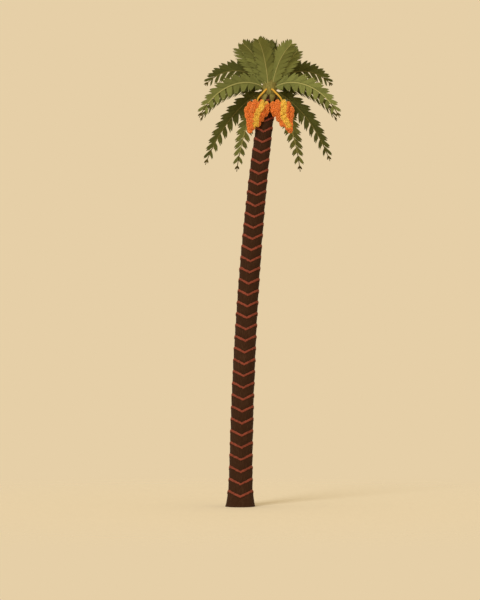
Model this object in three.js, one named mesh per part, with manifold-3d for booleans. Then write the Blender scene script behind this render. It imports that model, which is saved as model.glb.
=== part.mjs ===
// A date palm: one leaning trunk ringed with V-shaped leaf scars, old leaf bases round its top, a heart of
// young leaf bases, arching fronds in tiers around the heart, a closed spear leaf and three bunches of
// dates on stalks. Millimetres, +Z up. The origin is the middle of the flat cut at ground level. The front
// is -Y, and azimuths are degrees from +X, turning towards +Y.
import * as THREE from 'three';
import { mergeVertices } from 'three/addons/utils/BufferGeometryUtils.js';
import Module from 'manifold-3d';

const wasm = await Module();
wasm.setup();

// Driving dimensions
const CROWN_HEIGHT = 12500; // where the petioles meet
const TRUNK_TOP = 12330; // the bark ends and the heart begins
const LEAN = 870; // how far the crown stands to +X of the foot
const LEAN_EVENLY = 0.2; // share of the lean that is straight; the rest curves
const LEAN_CURVE = 2.3;
const LOW_RADIUS = 345;
const SLIM_EVENLY = 63; // radius lost steadily on the way up
const SLIM_NEAR_TOP = 57; // radius lost mostly in the last third
const FLARE = 105; // extra radius at the foot
const FLARE_HEIGHT = 360; // height over which the flare fades
const FOOT_HEIGHT = 150; // the plain foot below the lowest scar
const GAP = 0.3; // clear space between pieces that meet

// The heart and the closed leaf that stands in it: heights above where each starts, and radii
const HEART_PROFILE = [[0, 205], [90, 225], [200, 225], [340, 205], [460, 150], [540, 60]];
const HEART_SIDES = 14;
const SPEAR_PROFILE = [[-60, 42], [250, 46], [700, 34], [1150, 6]];
const SPEAR_SIDES = 8;

// Leaf scars: each course is one ring of three V-shaped lips
const COURSES = 36;
const FIRST_SCAR = 312;
const LOW_PITCH = 369;
const PITCH_STEP = 1.8; // each pitch is this much shorter than the one below
const LIP_HEIGHT = 66;
const LIP_PROUD = 18;
const LIP_UNDERCUT = 8;
const LIP_EDGE = 6; // height of the step behind a lip's upper edge
const SCAR_DEPTH = [60, 0.27]; // least depth of a V, and what each millimetre of radius adds
const FRONT_SCAR = { middle: 270, half: 70, steps: 6 };
const RIGHT_SCAR = { middle: 35, half: 55, steps: 4 };
const LEFT_SCAR = { middle: 145, half: 55, steps: 4 };

// Fronds
const BLADE_FROM = 0.075; // share of a frond's length that is bare petiole
const LEAFLET_LENGTH = 660;
const TUFT_LENGTHS = [230, 100];
const BEND_SPREAD = [0.9, 1.15]; // how far a bend spreads leaflet groups outside it and crowds those inside
const SHORT_FROND = [0.3, 3600]; // leaflets on a frond are cut to this share plus its length over this
const VALLEY = 16; // how far both rows of leaflets rise out of the blade's plane
const ROLL_DONE = 0.14; // by this share of its length a frond has turned its face
const BEND_STEPS = 40; // steps in which a frond's curve is added up
const SPLIT_BEND = 80; // a frond that bends more than this is two pieces
const CREST = 0.48; // share of its length at which it is split
const RIB = { foot: [42, 32], end: 0.04, blade: [27, 18], tip: [12, 7] }; // half width and half thickness

// Three forms of blade. The close leaflets end at to, and tufts follow. swell: how leaflets lengthen, then
// shorten. The others are given for the blade's upper and its lower side. reach: how long the leaflets
// are beside the swell; and, low and high on the blade, sweep: their angle to the rib; sink: how far they
// hang; wide: half a leaflet group's width in its room, which grows outside a bend and shrinks inside it;
// rear and front: where along it its two edges are widest. Past close the groups stand apart, and the
// last fills that share of its room.
const FEATHER = {
  to: 0.82, tufts: [[0.835, 0.885], [0.94, 0.958]], swell: { least: 0.55, from: 0.15, to: 0.96, ease: 0.85 },
  reach: [1.25, 1.1], sweep: [[38, 29], [58, 46]], sink: [[0, 0.1], [0.05, 0.35]],
  wide: [[0.48, 0.5], [0.47, 0.455]], rear: [[0.8, 0.82], [0.7, 0.6]], front: [[0.74, 0.76], [0.6, 0.45]],
  close: 0.4, fill: 0.84,
};
const SHORT_FEATHER = {
  ...FEATHER, wide: [[0.48, 0.49], [0.475, 0.45]], rear: [[0.86, 0.86], [0.78, 0.72]],
  front: [[0.82, 0.8], [0.74, 0.66]], close: 0.8, fill: 0.85,
};
const PADDLE = {
  to: 0.97, tufts: [], swell: { least: 0.4, from: 0.2, to: 1, ease: 1.35 },
  reach: [1, 1], sweep: [[50, 28], [50, 28]], sink: [[0, 0], [0, 0]],
  wide: [[0.47, 0.46], [0.47, 0.46]], rear: [[0.82, 0.7], [0.82, 0.7]], front: [[0.88, 0.8], [0.88, 0.8]],
  close: 1, fill: 1,
};
const LEVEL = [-0.1, 0.4]; // a side that rises less than the first is a lower one, past the second an upper

// The end of a leaflet group: how far along it and how far across, of its half width, the point, notch
// and point at its end are
const GROUP_END = [[0.9, -0.6], [0.8, -0.22], [1, 0.15]];

// Each tier: launch and fall are degrees above the horizon at the foot and lost on the way to the tip,
// and ease shapes the fall. up and out say where the petioles start in the heart, above TRUNK_TOP and
// from its axis. roll turns the faces of the sideways fronds, girth scales the ribs and leafy the
// leaflets, and groups of them stand on each side of a blade. Each frond has its azimuth and how long it
// is beside the tier's length.
const TIERS = [
  { name: 'skirt', tone: 'dark', up: 168, out: 60, launch: -15, fall: 55, ease: 0.55, length: 3000,
    groups: 8, roll: 64, girth: 1, leafy: 0.62, blade: FEATHER, fronds: [[180, 1], [0, 0.95]] },
  { name: 'under', tone: 'olive', up: 130, out: 60, launch: -16, fall: 60, ease: 0.75, length: 3170,
    groups: 9, roll: -30, girth: 1, leafy: 0.58, blade: FEATHER, fronds: [[119, 1], [61, 1]] },
  { name: 'arch', tone: 'olive', up: 128, out: 60, launch: 50, fall: 112, ease: 0.6, length: 2800,
    groups: 8, roll: 66, girth: 1, leafy: 0.62, blade: FEATHER, fronds: [[209, 1], [331, 1]] },
  { name: 'back_arch', tone: 'dark', up: 130, out: 60, launch: 35, fall: 93, ease: 0.7, length: 2700,
    groups: 8, roll: 60, girth: 1, leafy: 0.7, blade: FEATHER, fronds: [[151, 1], [90, 0.9], [29, 1]] },
  { name: 'shoulder', tone: 'dark', up: 235, out: 60, launch: 55, fall: 105, ease: 1, length: 2220,
    groups: 7, roll: 64, girth: 1, leafy: 0.76, blade: SHORT_FEATHER, fronds: [[168, 1], [12, 0.97]] },
  { name: 'back_shoulder', tone: 'dark', up: 190, out: 60, launch: 52, fall: 98, ease: 1.1, length: 2400,
    groups: 8, roll: 40, girth: 1, leafy: 0.8, blade: SHORT_FEATHER, fronds: [[113, 1], [58, 1]] },
  { name: 'fan', tone: 'olive', up: 240, out: 140, launch: 76, fall: 52, ease: 1.1, length: 1900,
    groups: 8, roll: -75, girth: 0.72, leafy: 1, blade: PADDLE,
    fronds: [[225, 0.87], [253, 0.94], [306, 0.87]] },
  { name: 'side_fan', tone: 'olive', up: 240, out: 140, launch: 64, fall: 24, ease: 1.1, length: 1450,
    groups: 8, roll: -75, girth: 0.72, leafy: 1.15, blade: PADDLE, fronds: [[203, 1], [332, 0.92]] },
  { name: 'back_fan', tone: 'dark', up: 260, out: 130, launch: 78, fall: 60, ease: 1.1, length: 1900,
    groups: 8, roll: 75, girth: 0.72, leafy: 1, blade: PADDLE,
    fronds: [[33, 0.76], [78, 0.92], [140, 0.82]] },
  { name: 'young', tone: 'olive', up: 390, out: 92, launch: 84, fall: 30, ease: 1.3, length: 1300,
    groups: 6, roll: 0, girth: 0.5, leafy: 0.8, blade: PADDLE, fronds: [[268, 1], [25, 0.95], [145, 0.9]] },
];

// Bunches of dates. at is the middle of a bunch's top, from the crown's middle, lean how much further out
// its foot hangs, and long the side on which its strands are longest. stalk is where its stalk leaves.
const BUNCHES = [
  { name: 'left', stalk: 246, at: [-325, -300], lean: [-130, 0], long: -1, spread: 270, drop: 790,
    strands: 8 },
  { name: 'right', stalk: 294, at: [338, -300], lean: [165, 0], long: 1, spread: 250, drop: 790,
    strands: 8 },
  { name: 'back', stalk: 107, at: [-40, 345], lean: [-70, 60], long: 0, spread: 120, drop: 760,
    strands: 5 },
];
const BUNCH_TOP = -430; // the strands part here, below the crown's middle
const BUNCH_SHOULDER = 70; // how much lower the outermost strands start
const BUNCH_DEEP = 0.7; // a bunch's depth beside its width
const BUNCH_NARROWS = [0.5, 1.8]; // share of its width that it loses on the way down, and how late
const BUNCH_BELLY = 0.3; // how much wider it is a quarter of the way down
const BUNCH_UNEVEN = 0.2; // how much the strands' length differs from side to side
const BUNCH_CORE = [[0.02, 0.75], [0.45, 0.75], [0.72, 0.4]]; // the filled middle: how far down, how wide
const LUMP_RADIUS = 88; // each lump stands for a cluster of dates on its strand
const LUMP_STRETCH = 1.35;
const LUMP_PITCH = 155;
const STALK_RADIUS = 27;
const STALK_STEPS = 9;
const STALK_SIDES = 8;
const STALK_HEIGHTS = [10, -15, -105, -215, -330, BUNCH_TOP - 40]; // beside the crown's middle
const STALK_REACH = [80, 250]; // from the crown's axis, before it bends to the side
const STALK_BEND = [0.36, 0.82, 1.12, 1]; // how far it has come from there to the bunch's middle
const CLEAR_OF_BARK = 5; // what a bunch leaves between itself and the trunk's lips
const CLEAR_OF_MIDDLE = 1; // and between itself and the plane through the crown's middle
const CLEAR_HEIGHT = 1400;
const CLEAR_SIDES = 20;

// Old leaf bases that clasp the top of the bark, under the heart
const BASES = [0, 60, 120, 180, 240, 300];
const BASE_HALF_OUTLINE = [[0, -262], [38, -225], [84, -140], [118, -30], [98, 0], [98, 18]]; // aside and up
const BASE_PROFILE = [[-262, 12], [-60, 30], [18, 6]]; // up, and how far it stands out from the bark's room
const BASE_REACH = 500;

const rad = THREE.MathUtils.degToRad;
const lerp = THREE.MathUtils.lerp;
const vec = (x, y, z) => new THREE.Vector3(x, y, z);

// Middle of the trunk at height z
function axisAt(z) {
  const t = Math.max(z, 0) / CROWN_HEIGHT;
  return vec(LEAN * (LEAN_EVENLY * t + (1 - LEAN_EVENLY) * t ** LEAN_CURVE), 0, z);
}

function trunkRadius(z) {
  const t = z / CROWN_HEIGHT;
  return LOW_RADIUS - SLIM_EVENLY * t - SLIM_NEAR_TOP * t ** 4 + FLARE * Math.exp(-z / FLARE_HEIGHT);
}

// A closed mesh from corner points and triangles of their numbers
function solidFrom(points, triangles) {
  return new wasm.Manifold(new wasm.Mesh({
    numProp: 3,
    vertProperties: new Float32Array(points.flatMap((p) => p.toArray())),
    triVerts: new Uint32Array(triangles),
  }));
}

// A three.js geometry as a solid, its doubled corners merged
function solidOf(geometry) {
  const bare = geometry.clone();
  bare.deleteAttribute('normal');
  bare.deleteAttribute('uv');
  const merged = mergeVertices(bare, 1e-3);
  return new wasm.Manifold(new wasm.Mesh({
    numProp: 3,
    vertProperties: new Float32Array(merged.attributes.position.array),
    triVerts: new Uint32Array(merged.index.array),
  }));
}

function geometryOf(solid) {
  const mesh = solid.getMesh();
  const places = new Float32Array(mesh.numVert * 3);
  for (let i = 0; i < mesh.numVert; i++) {
    places.set(mesh.vertProperties.subarray(i * mesh.numProp, i * mesh.numProp + 3), i * 3);
  }
  const geometry = new THREE.BufferGeometry();
  geometry.setAttribute('position', new THREE.BufferAttribute(places, 3));
  geometry.setIndex(new THREE.BufferAttribute(new Uint32Array(mesh.triVerts), 1));
  geometry.computeVertexNormals();
  return geometry;
}

// A solid through closed rings with the same number of corners, the first at the bottom, anticlockwise
// from above, with flat ends
function loft(rings) {
  const n = rings[0].length;
  const points = rings.flat();
  const triangles = [];
  for (let i = 0; i + 1 < rings.length; i++) {
    for (let j = 0; j < n; j++) {
      const a = i * n + j;
      const b = i * n + (j + 1) % n;
      triangles.push(a, b, b + n, a, b + n, a + n);
    }
  }
  const last = (rings.length - 1) * n;
  for (let j = 1; j + 1 < n; j++) {
    triangles.push(0, j + 1, j, last, last + j, last + j + 1);
  }
  return solidFrom(points, triangles);
}

// A level ring round the trunk's axis
function ringAt(z, radius, sides) {
  return Array.from({ length: sides }, (_, j) => {
    const a = 2 * Math.PI * j / sides;
    return axisAt(z).add(vec(radius * Math.cos(a), radius * Math.sin(a), 0));
  });
}

// The scar ring's corners: an azimuth and how far it stands from valley, 0, to peak, 1
function scarCorners() {
  const corners = [];
  for (const scar of [FRONT_SCAR, RIGHT_SCAR, LEFT_SCAR]) {
    for (let i = 0; i < scar.steps; i++) {
      const off = lerp(-scar.half, scar.half, i / scar.steps);
      corners.push({
        azimuth: rad(scar.middle + off),
        rise: Math.abs(Math.sin(rad(off))) / Math.sin(rad(scar.half)),
      });
    }
  }
  return corners;
}

function scarHeight(course) {
  return FIRST_SCAR + course * LOW_PITCH - PITCH_STEP * course * (course - 1) / 2;
}

// One ring of the trunk: valley is the height in the V's lowest point
function barkRing(corners, valley, proud, depth) {
  return corners.map(({ azimuth, rise }) => {
    const z = valley + depth * rise;
    const r = trunkRadius(z) + proud;
    return axisAt(z).add(vec(r * Math.cos(azimuth), r * Math.sin(azimuth), 0));
  });
}

function trunk() {
  const corners = scarCorners();
  const rings = [barkRing(corners, 0, 0, 0), barkRing(corners, FOOT_HEIGHT, 0, 0)];
  for (let course = 0; course < COURSES; course++) {
    const valley = scarHeight(course);
    const depth = SCAR_DEPTH[0] + SCAR_DEPTH[1] * trunkRadius(valley);
    rings.push(barkRing(corners, valley - LIP_HEIGHT / 2, LIP_PROUD, depth));
    rings.push(barkRing(corners, valley + LIP_HEIGHT / 2, LIP_PROUD, depth));
    if (course + 1 < COURSES) {
      rings.push(barkRing(corners, valley + LIP_HEIGHT / 2 + LIP_EDGE, -LIP_UNDERCUT, depth));
    }
  }
  rings.push(barkRing(corners, TRUNK_TOP, LIP_PROUD, 0));
  return loft(rings);
}

// The heart: the swelling of young leaf bases over the bark, tapering to the spear leaf
function heart(grow) {
  return loft(HEART_PROFILE.map(([up, radius], i) => {
    const end = i === 0 ? -grow : i === HEART_PROFILE.length - 1 ? grow : 0;
    return ringAt(TRUNK_TOP + GAP + up + end, radius + grow, HEART_SIDES);
  }));
}

// A round rod along a smooth curve through points
function rod(points, radius, steps, sides) {
  const circle = new THREE.Shape();
  for (let i = 0; i < sides; i++) {
    const a = 2 * Math.PI * i / sides;
    if (i === 0) circle.moveTo(radius * Math.cos(a), radius * Math.sin(a));
    else circle.lineTo(radius * Math.cos(a), radius * Math.sin(a));
  }
  circle.closePath();
  return solidOf(new THREE.ExtrudeGeometry(circle, {
    steps, curveSegments: 1, bevelEnabled: false, extrudePath: new THREE.CatmullRomCurve3(points),
  }));
}

// Where a frond runs: points with the frame of its blade
function frondFrames(frond, shares) {
  const azimuth = rad(frond.azimuth);
  const side = vec(Math.sin(azimuth), -Math.cos(azimuth), 0);
  const root = axisAt(TRUNK_TOP + frond.up).add(
    vec(Math.cos(azimuth), Math.sin(azimuth), 0).multiplyScalar(frond.out));
  const slope = (s) => rad(frond.launch - frond.fall * s ** frond.ease);
  const heading = (s) => vec(Math.cos(slope(s)) * Math.cos(azimuth), Math.cos(slope(s)) * Math.sin(azimuth),
    Math.sin(slope(s)));
  const place = (s) => {
    const point = root.clone();
    for (let i = 0; i < BEND_STEPS; i++) {
      point.addScaledVector(heading(s * (i + 0.5) / BEND_STEPS), frond.length * s / BEND_STEPS);
    }
    return point;
  };
  return shares.map((s) => {
    const along = heading(s);
    const over = side.clone().cross(along);
    const roll = rad(-frond.roll * Math.cos(azimuth)) * THREE.MathUtils.smoothstep(s, 0, ROLL_DONE);
    const across = side.clone().multiplyScalar(Math.cos(roll)).addScaledVector(over, Math.sin(roll));
    const up = over.clone().multiplyScalar(Math.cos(roll)).addScaledVector(side, -Math.sin(roll));
    const [half, thick] = [0, 1].map((k) => frond.girth * ribHalf(s, k));
    return { s, middle: place(s), along, across, up, half, thick };
  });
}

// Half the rib's width, k = 0, or thickness, k = 1
function ribHalf(s, k) {
  const { foot, end, blade, tip } = RIB;
  return s < end ? lerp(foot[k], blade[k], s / end) : lerp(blade[k], tip[k], (s - end) / (1 - end));
}

// How far along the blade share s of the frond is, more than 1 in its tufts
const alongBlade = (s, frond) => (s - BLADE_FROM) / (frond.blade.to - BLADE_FROM);

// Length of the leaflets at share s of the frond
function leafletLength(s, frond) {
  const t = alongBlade(s, frond);
  if (t > 1) return s < frond.blade.tufts[1][0] ? TUFT_LENGTHS[0] : TUFT_LENGTHS[1];
  const { least, from, to, ease } = frond.blade.swell;
  const swell = least + (1 - least) * Math.sin(Math.PI * lerp(from, to, t) ** ease);
  return LEAFLET_LENGTH * frond.leafy * swell * Math.min(1, SHORT_FROND[0] + frond.length / SHORT_FROND[1]);
}

// Where the rings of a frond's rib stand, and whether leaflets grow between one ring and the next
function frondStations(frond) {
  const { to: end, tufts, close, fill } = frond.blade;
  const stations = [{ s: 0, leafy: false }, { s: RIB.end, leafy: false }];
  const room = (end - BLADE_FROM) / frond.groups;
  for (let i = 0; i < frond.groups; i++) {
    const s = BLADE_FROM + i * room;
    const past = (i / (frond.groups - 1) - close) / (1 - close);
    stations.push({ s, leafy: true });
    if (past > 0) stations.push({ s: s + room * lerp(1, fill, past), leafy: false });
  }
  stations.push({ s: end, leafy: false });
  for (const [from, to] of tufts) {
    stations.push({ s: from, leafy: true }, { s: to, leafy: false });
  }
  stations.push({ s: 1, leafy: false });
  return stations;
}

// The outer corners of the leaflet group between two rings, on the side given as 1 or -1
function leafletCorners(near, far, side, frond) {
  const { blade } = frond;
  const s = (near.s + far.s) / 2;
  const t = Math.min(1, alongBlade(s, frond));
  const along = near.along.clone().add(far.along).normalize();
  const out = near.across.clone().add(far.across).normalize().multiplyScalar(side * Math.cos(rad(VALLEY)))
    .addScaledVector(near.up.clone().add(far.up).normalize(), Math.sin(rad(VALLEY)));
  const lower = 1 - THREE.MathUtils.smoothstep(out.z, ...LEVEL);
  const bySide = ([high, low]) => lerp(lerp(...high, t), lerp(...low, t), lower);
  const sweep = rad(bySide(blade.sweep));
  const way = along.clone().multiplyScalar(Math.cos(sweep)).addScaledVector(out, Math.sin(sweep))
    .addScaledVector(vec(0, 0, -1), bySide(blade.sink)).normalize();
  const cross = along.clone().addScaledVector(way, -along.dot(way)).normalize();
  const a = near.middle.clone().addScaledVector(near.across, side * near.half);
  const b = far.middle.clone().addScaledVector(far.across, side * far.half);
  const root = a.clone().add(b).multiplyScalar(0.5);
  const strip = b.clone().sub(a).dot(cross);
  const turn = far.along.clone().sub(near.along).dot(out) / a.distanceTo(b) / Math.sin(sweep);
  const crowd = turn * (turn > 0 ? BEND_SPREAD[1] : BEND_SPREAD[0]);
  const length = leafletLength(s, frond) * lerp(...blade.reach, lower);
  const at = (share, off) => root.clone().addScaledVector(way, share * length)
    .addScaledVector(cross, off * strip * (1 - crowd * share * length));
  const share = bySide(blade.wide);
  return [at(bySide(blade.rear), -share), ...GROUP_END.map(([v, off]) => at(v, off * share)),
    at(bySide(blade.front), share)];
}

// The triangles of one leaflet group: rib names the rib's top and bottom corners at the group's two ends,
// and outer numbers its outer corners from the rear shoulder to the front one
function leafletFaces(rib, outer, side) {
  const { aTop, bTop, aLow, bLow } = rib;
  const front = outer.at(-1);
  const tip = outer.at(-2);
  const faces = [[outer[0], aTop, aLow], [bTop, front, bLow], [aTop, tip, bTop], [aLow, bLow, tip],
    [bTop, tip, front], [bLow, front, tip]];
  for (let i = 0; i + 2 < outer.length; i++) {
    faces.push([aTop, outer[i], outer[i + 1]], [aLow, outer[i + 1], outer[i]]);
  }
  return side > 0 ? faces.flat() : faces.flatMap(([p, q, r]) => [p, r, q]);
}

// One leaflet group as a solid of its own, to test for touching
function leafletSolid(near, far, side, frond) {
  const corner = (ring, up) => ring.middle.clone().addScaledVector(ring.across, side * ring.half)
    .addScaledVector(ring.up, up * ring.thick);
  const points = [corner(near, 1), corner(far, 1), corner(near, -1), corner(far, -1),
    ...leafletCorners(near, far, side, frond)];
  const [aTop, bTop, aLow, bLow, ...outer] = points.keys();
  const base = side > 0 ? [aTop, bTop, bLow, aTop, bLow, aLow] : [aTop, bLow, bTop, aTop, aLow, bLow];
  return solidFrom(points, [...leafletFaces({ aTop, bTop, aLow, bLow }, outer, side), ...base]);
}

// One stretch of a frond: its rib with the leaflet groups that keep names
function frondSolid(frond, first, last, keep) {
  const frames = frond.frames.slice(first, last + 1).map((frame, i) => {
    const cutBefore = i === 0 && first > 0;
    const cutAfter = i === last - first && last < frond.frames.length - 1;
    const shift = GAP / 2 * (Number(cutBefore) - Number(cutAfter));
    return { ...frame, middle: frame.middle.clone().addScaledVector(frame.along, shift) };
  });
  const points = frames.flatMap((f) => [[1, 1], [-1, 1], [-1, -1], [1, -1]].map(([across, up]) =>
    f.middle.clone().addScaledVector(f.across, across * f.half).addScaledVector(f.up, up * f.thick)));
  const triangles = [0, 1, 2, 0, 2, 3];
  for (let i = 0; i + 1 < frames.length; i++) {
    const [lt, rt, rb, lb] = [0, 1, 2, 3].map((k) => 4 * i + k);
    const [LT, RT, RB, LB] = [4, 5, 6, 7].map((k) => 4 * i + k);
    triangles.push(rt, lt, LT, rt, LT, RT, rb, LB, lb, rb, RB, LB);
    for (const side of [1, -1]) {
      if (keep.has(leafletKey(first + i, side))) {
        const corners = leafletCorners(frames[i], frames[i + 1], side, frond);
        const outer = corners.map((_, k) => points.length + k);
        points.push(...corners);
        const left = { aTop: lt, bTop: LT, aLow: lb, bLow: LB };
        const right = { aTop: rt, bTop: RT, aLow: rb, bLow: RB };
        triangles.push(...leafletFaces(side > 0 ? left : right, outer, side));
      } else if (side > 0) {
        triangles.push(lb, LB, LT, lb, LT, lt);
      } else {
        triangles.push(rb, RT, RB, rb, rt, RT);
      }
    }
  }
  const [LT, RT, RB, LB] = [0, 1, 2, 3].map((k) => 4 * (frames.length - 1) + k);
  triangles.push(LT, RB, RT, LT, LB, RB);
  return solidFrom(points, triangles);
}

const leafletKey = (segment, side) => `${segment}:${side}`;

// Every frond with its frames, and where it is split if it bends far
function allFronds() {
  const fronds = [];
  for (const tier of TIERS) {
    tier.fronds.forEach(([azimuth, scale], i) => {
      const frond = { ...tier, azimuth, length: tier.length * scale, name: `${tier.name}_frond_${i + 1}` };
      const stations = frondStations(frond);
      frond.grows = stations.map((station) => station.leafy);
      frond.frames = frondFrames(frond, stations.map((station) => station.s));
      const crest = frond.frames.findIndex((f) => f.s >= CREST);
      frond.splits = frond.fall > SPLIT_BEND ? [[0, crest], [crest, frond.frames.length - 1]]
        : [[0, frond.frames.length - 1]];
      fronds.push(frond);
    });
  }
  return fronds;
}

const touches = (a, b) => a.intersect(b).volume() > 0;

// Leaflet groups that touch a solid piece, or a group or rib of an earlier frond, are skipped
function settleLeaflets(fronds, others) {
  for (const frond of fronds) {
    frond.keep = new Set();
    frond.rib = frondSolid(frond, 0, frond.frames.length - 1, frond.keep);
    frond.groupsMade = [];
    frond.innerGroups = [];
  }
  fronds.forEach((frond, index) => {
    const near = [...others, ...fronds.filter((_, k) => k !== index).map((other) => other.rib)];
    const before = fronds.slice(0, index).flatMap((other) => other.groupsMade);
    for (let i = 0; i + 1 < frond.frames.length; i++) {
      if (!frond.grows[i]) continue;
      for (const side of [1, -1]) {
        const group = leafletSolid(frond.frames[i], frond.frames[i + 1], side, frond);
        const inner = i >= frond.splits[0][1] ? frond.innerGroups : [];
        if ([...near, ...before, ...inner].some((other) => touches(group, other))) continue;
        frond.keep.add(leafletKey(i, side));
        frond.groupsMade.push(group);
        if (i < frond.splits[0][1]) frond.innerGroups.push(group);
      }
    }
  });
}

// How wide a bunch is at share v of the way down
function spreadAt(cluster, v) {
  const belly = BUNCH_BELLY * Math.sin(Math.PI * Math.min(1, 2 * v));
  return cluster.spread * (1 + belly - BUNCH_NARROWS[0] * v ** BUNCH_NARROWS[1]);
}

// A point of a bunch: share v down a strand that hangs at angle a and ends drop lower
function bunchPoint(cluster, v, a, wide, drop) {
  const spread = wide * spreadAt(cluster, v);
  return axisAt(CROWN_HEIGHT).add(vec(
    cluster.at[0] + cluster.lean[0] * v + spread * Math.cos(a),
    cluster.at[1] + cluster.lean[1] * v + BUNCH_DEEP * spread * Math.sin(a),
    BUNCH_TOP - drop * v - BUNCH_SHOULDER * Math.cos(a) ** 2 * (1 - v)));
}

// The half space on a bunch's own side of the crown's middle, where it hangs beside another
function ownSide(cluster, solid) {
  if (cluster.long === 0) return solid;
  const middle = axisAt(CROWN_HEIGHT).x * cluster.long;
  return solid.trimByPlane([cluster.long, 0, 0], middle + CLEAR_OF_MIDDLE);
}

function bunch(cluster) {
  const lump = solidOf(new THREE.IcosahedronGeometry(LUMP_RADIUS, 0)).scale([1, 1, LUMP_STRETCH]);
  const pieces = [];
  for (let k = 0; k < cluster.strands; k++) {
    const a = 2 * Math.PI * (k + 0.5) / cluster.strands;
    const drop = cluster.drop * (1 - BUNCH_UNEVEN * (1 - cluster.long * Math.cos(a)));
    const last = Math.round(drop / LUMP_PITCH);
    for (let i = 0; i <= last; i++) {
      pieces.push(lump.translate(bunchPoint(cluster, i / last, a, 1, drop).toArray()));
    }
  }
  const core = BUNCH_CORE.map(([v, wide]) => Array.from({ length: cluster.strands }, (_, k) =>
    bunchPoint(cluster, v, 2 * Math.PI * k / cluster.strands, wide, cluster.drop)));
  pieces.push(loft(core.reverse()));
  return ownSide(cluster, wasm.Manifold.union(pieces));
}

// A solid of revolution round the trunk's top: heights from TRUNK_TOP and how far it stands out from the lips
function collar(profile) {
  return loft(profile.map(([up, proud]) => {
    const z = TRUNK_TOP + up;
    const radius = (trunkRadius(z) + LIP_PROUD + proud) / Math.cos(Math.PI / CLEAR_SIDES);
    return ringAt(z, radius, CLEAR_SIDES);
  }));
}

// The space that the top of the trunk needs, lips and all
function trunkRoom(proud) {
  return collar([[-CLEAR_HEIGHT, proud], [-CLEAR_HEIGHT / 2, proud], [GAP, proud]]);
}

// The ring that the old leaf bases are cut from, grown all round
function baseRing(grow) {
  const last = BASE_PROFILE.length - 1;
  return collar(BASE_PROFILE.map(([up, proud], i) =>
    [up + (i === last ? grow : i === 0 ? -grow : 0), CLEAR_OF_BARK + proud + grow]));
}

// One old leaf base: a shield that narrows downwards, cut from the ring
function leafBase(azimuth, room) {
  const left = BASE_HALF_OUTLINE.slice(1).reverse().map(([aside, up]) => [-aside, up]);
  const outline = [...BASE_HALF_OUTLINE, ...left].map(([aside, up]) => new THREE.Vector2(aside, up));
  const geometry = new THREE.ExtrudeGeometry(new THREE.Shape(outline), { depth: BASE_REACH,
    bevelEnabled: false });
  const out = vec(Math.cos(rad(azimuth)), Math.sin(rad(azimuth)), 0);
  const turn = new THREE.Matrix4().makeBasis(vec(-out.y, out.x, 0), vec(0, 0, 1), out);
  geometry.applyMatrix4(turn.setPosition(axisAt(TRUNK_TOP)));
  return wholeOf(solidOf(geometry).intersect(baseRing(0)).subtract(room));
}

// A bunch's stalk: out of the heart, over and down into the middle of its strands
function stalk(cluster, grow) {
  const way = vec(Math.cos(rad(cluster.stalk)), Math.sin(rad(cluster.stalk)), 0);
  const top = vec(cluster.at[0], cluster.at[1], 0);
  const out = STALK_REACH.map((reach) => way.clone().multiplyScalar(reach));
  const over = STALK_BEND.map((share) => out[1].clone().lerp(top, share));
  const crown = axisAt(CROWN_HEIGHT);
  const points = [...out, ...over].map((p, i) => p.add(crown).add(vec(0, 0, STALK_HEIGHTS[i])));
  return rod(points, STALK_RADIUS + grow, STALK_STEPS, STALK_SIDES);
}

function spear() {
  const foot = TRUNK_TOP + HEART_PROFILE.at(-1)[0];
  return loft(SPEAR_PROFILE.map(([up, radius]) => ringAt(foot + up, radius, SPEAR_SIDES)));
}

// The greatest body, with loose scraps dropped
function wholeOf(solid) {
  return solid.decompose().sort((a, b) => b.volume() - a.volume())[0];
}

const MATERIALS = {
  bark: new THREE.MeshStandardMaterial({ color: 0x3a2318, roughness: 0.95, metalness: 0 }),
  heart: new THREE.MeshStandardMaterial({ color: 0x6c6834, roughness: 0.8, metalness: 0 }),
  olive: new THREE.MeshStandardMaterial({ color: 0x6f6b33, roughness: 0.6, metalness: 0 }),
  dark: new THREE.MeshStandardMaterial({ color: 0x4a4823, roughness: 0.6, metalness: 0 }),
  stalk: new THREE.MeshStandardMaterial({ color: 0xdca442, roughness: 0.6, metalness: 0 }),
  dates: new THREE.MeshStandardMaterial({ color: 0xd8722a, roughness: 0.4, metalness: 0 }),
};

function named(name, solid, material) {
  const mesh = new THREE.Mesh(geometryOf(solid), material);
  mesh.name = name;
  return mesh;
}

function palm() {
  const tree = new THREE.Group();
  const trunkSolid = trunk();
  const heartGrown = heart(GAP);
  tree.add(named('trunk', trunkSolid, MATERIALS.bark));
  tree.add(named('heart', heart(0), MATERIALS.heart));
  const others = [trunkSolid, heartGrown];
  const spearSolid = wholeOf(spear().subtract(heartGrown));
  tree.add(named('spear_leaf', spearSolid, MATERIALS.olive));
  others.push(spearSolid);
  const room = trunkRoom(CLEAR_OF_BARK / 2).add(heartGrown);
  BASES.forEach((azimuth, i) => {
    const base = leafBase(azimuth, room);
    tree.add(named(`leaf_base_${i + 1}`, base, MATERIALS.heart));
    others.push(base);
  });
  const crowded = trunkRoom(CLEAR_OF_BARK).add(baseRing(CLEAR_OF_BARK));
  for (const cluster of BUNCHES) {
    const dates = wholeOf(bunch(cluster).subtract(crowded).subtract(stalk(cluster, 2 * GAP)));
    const stem = wholeOf(stalk(cluster, 0).subtract(heartGrown));
    tree.add(named(`fruit_stalk_${cluster.name}`, stem, MATERIALS.stalk));
    tree.add(named(`date_bunch_${cluster.name}`, dates, MATERIALS.dates));
    others.push(stem, dates);
  }
  const fronds = allFronds();
  settleLeaflets(fronds, others);
  for (const frond of fronds) {
    frond.splits.forEach(([first, last], i) => {
      const whole = frondSolid(frond, first, last, frond.keep);
      const solid = first === 0 ? wholeOf(whole.subtract(heartGrown)) : whole;
      const ends = frond.splits.length > 1 ? ['_inner', '_outer'][i] : '';
      tree.add(named(frond.name + ends, solid, MATERIALS[frond.tone]));
    });
  }
  return tree;
}

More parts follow.
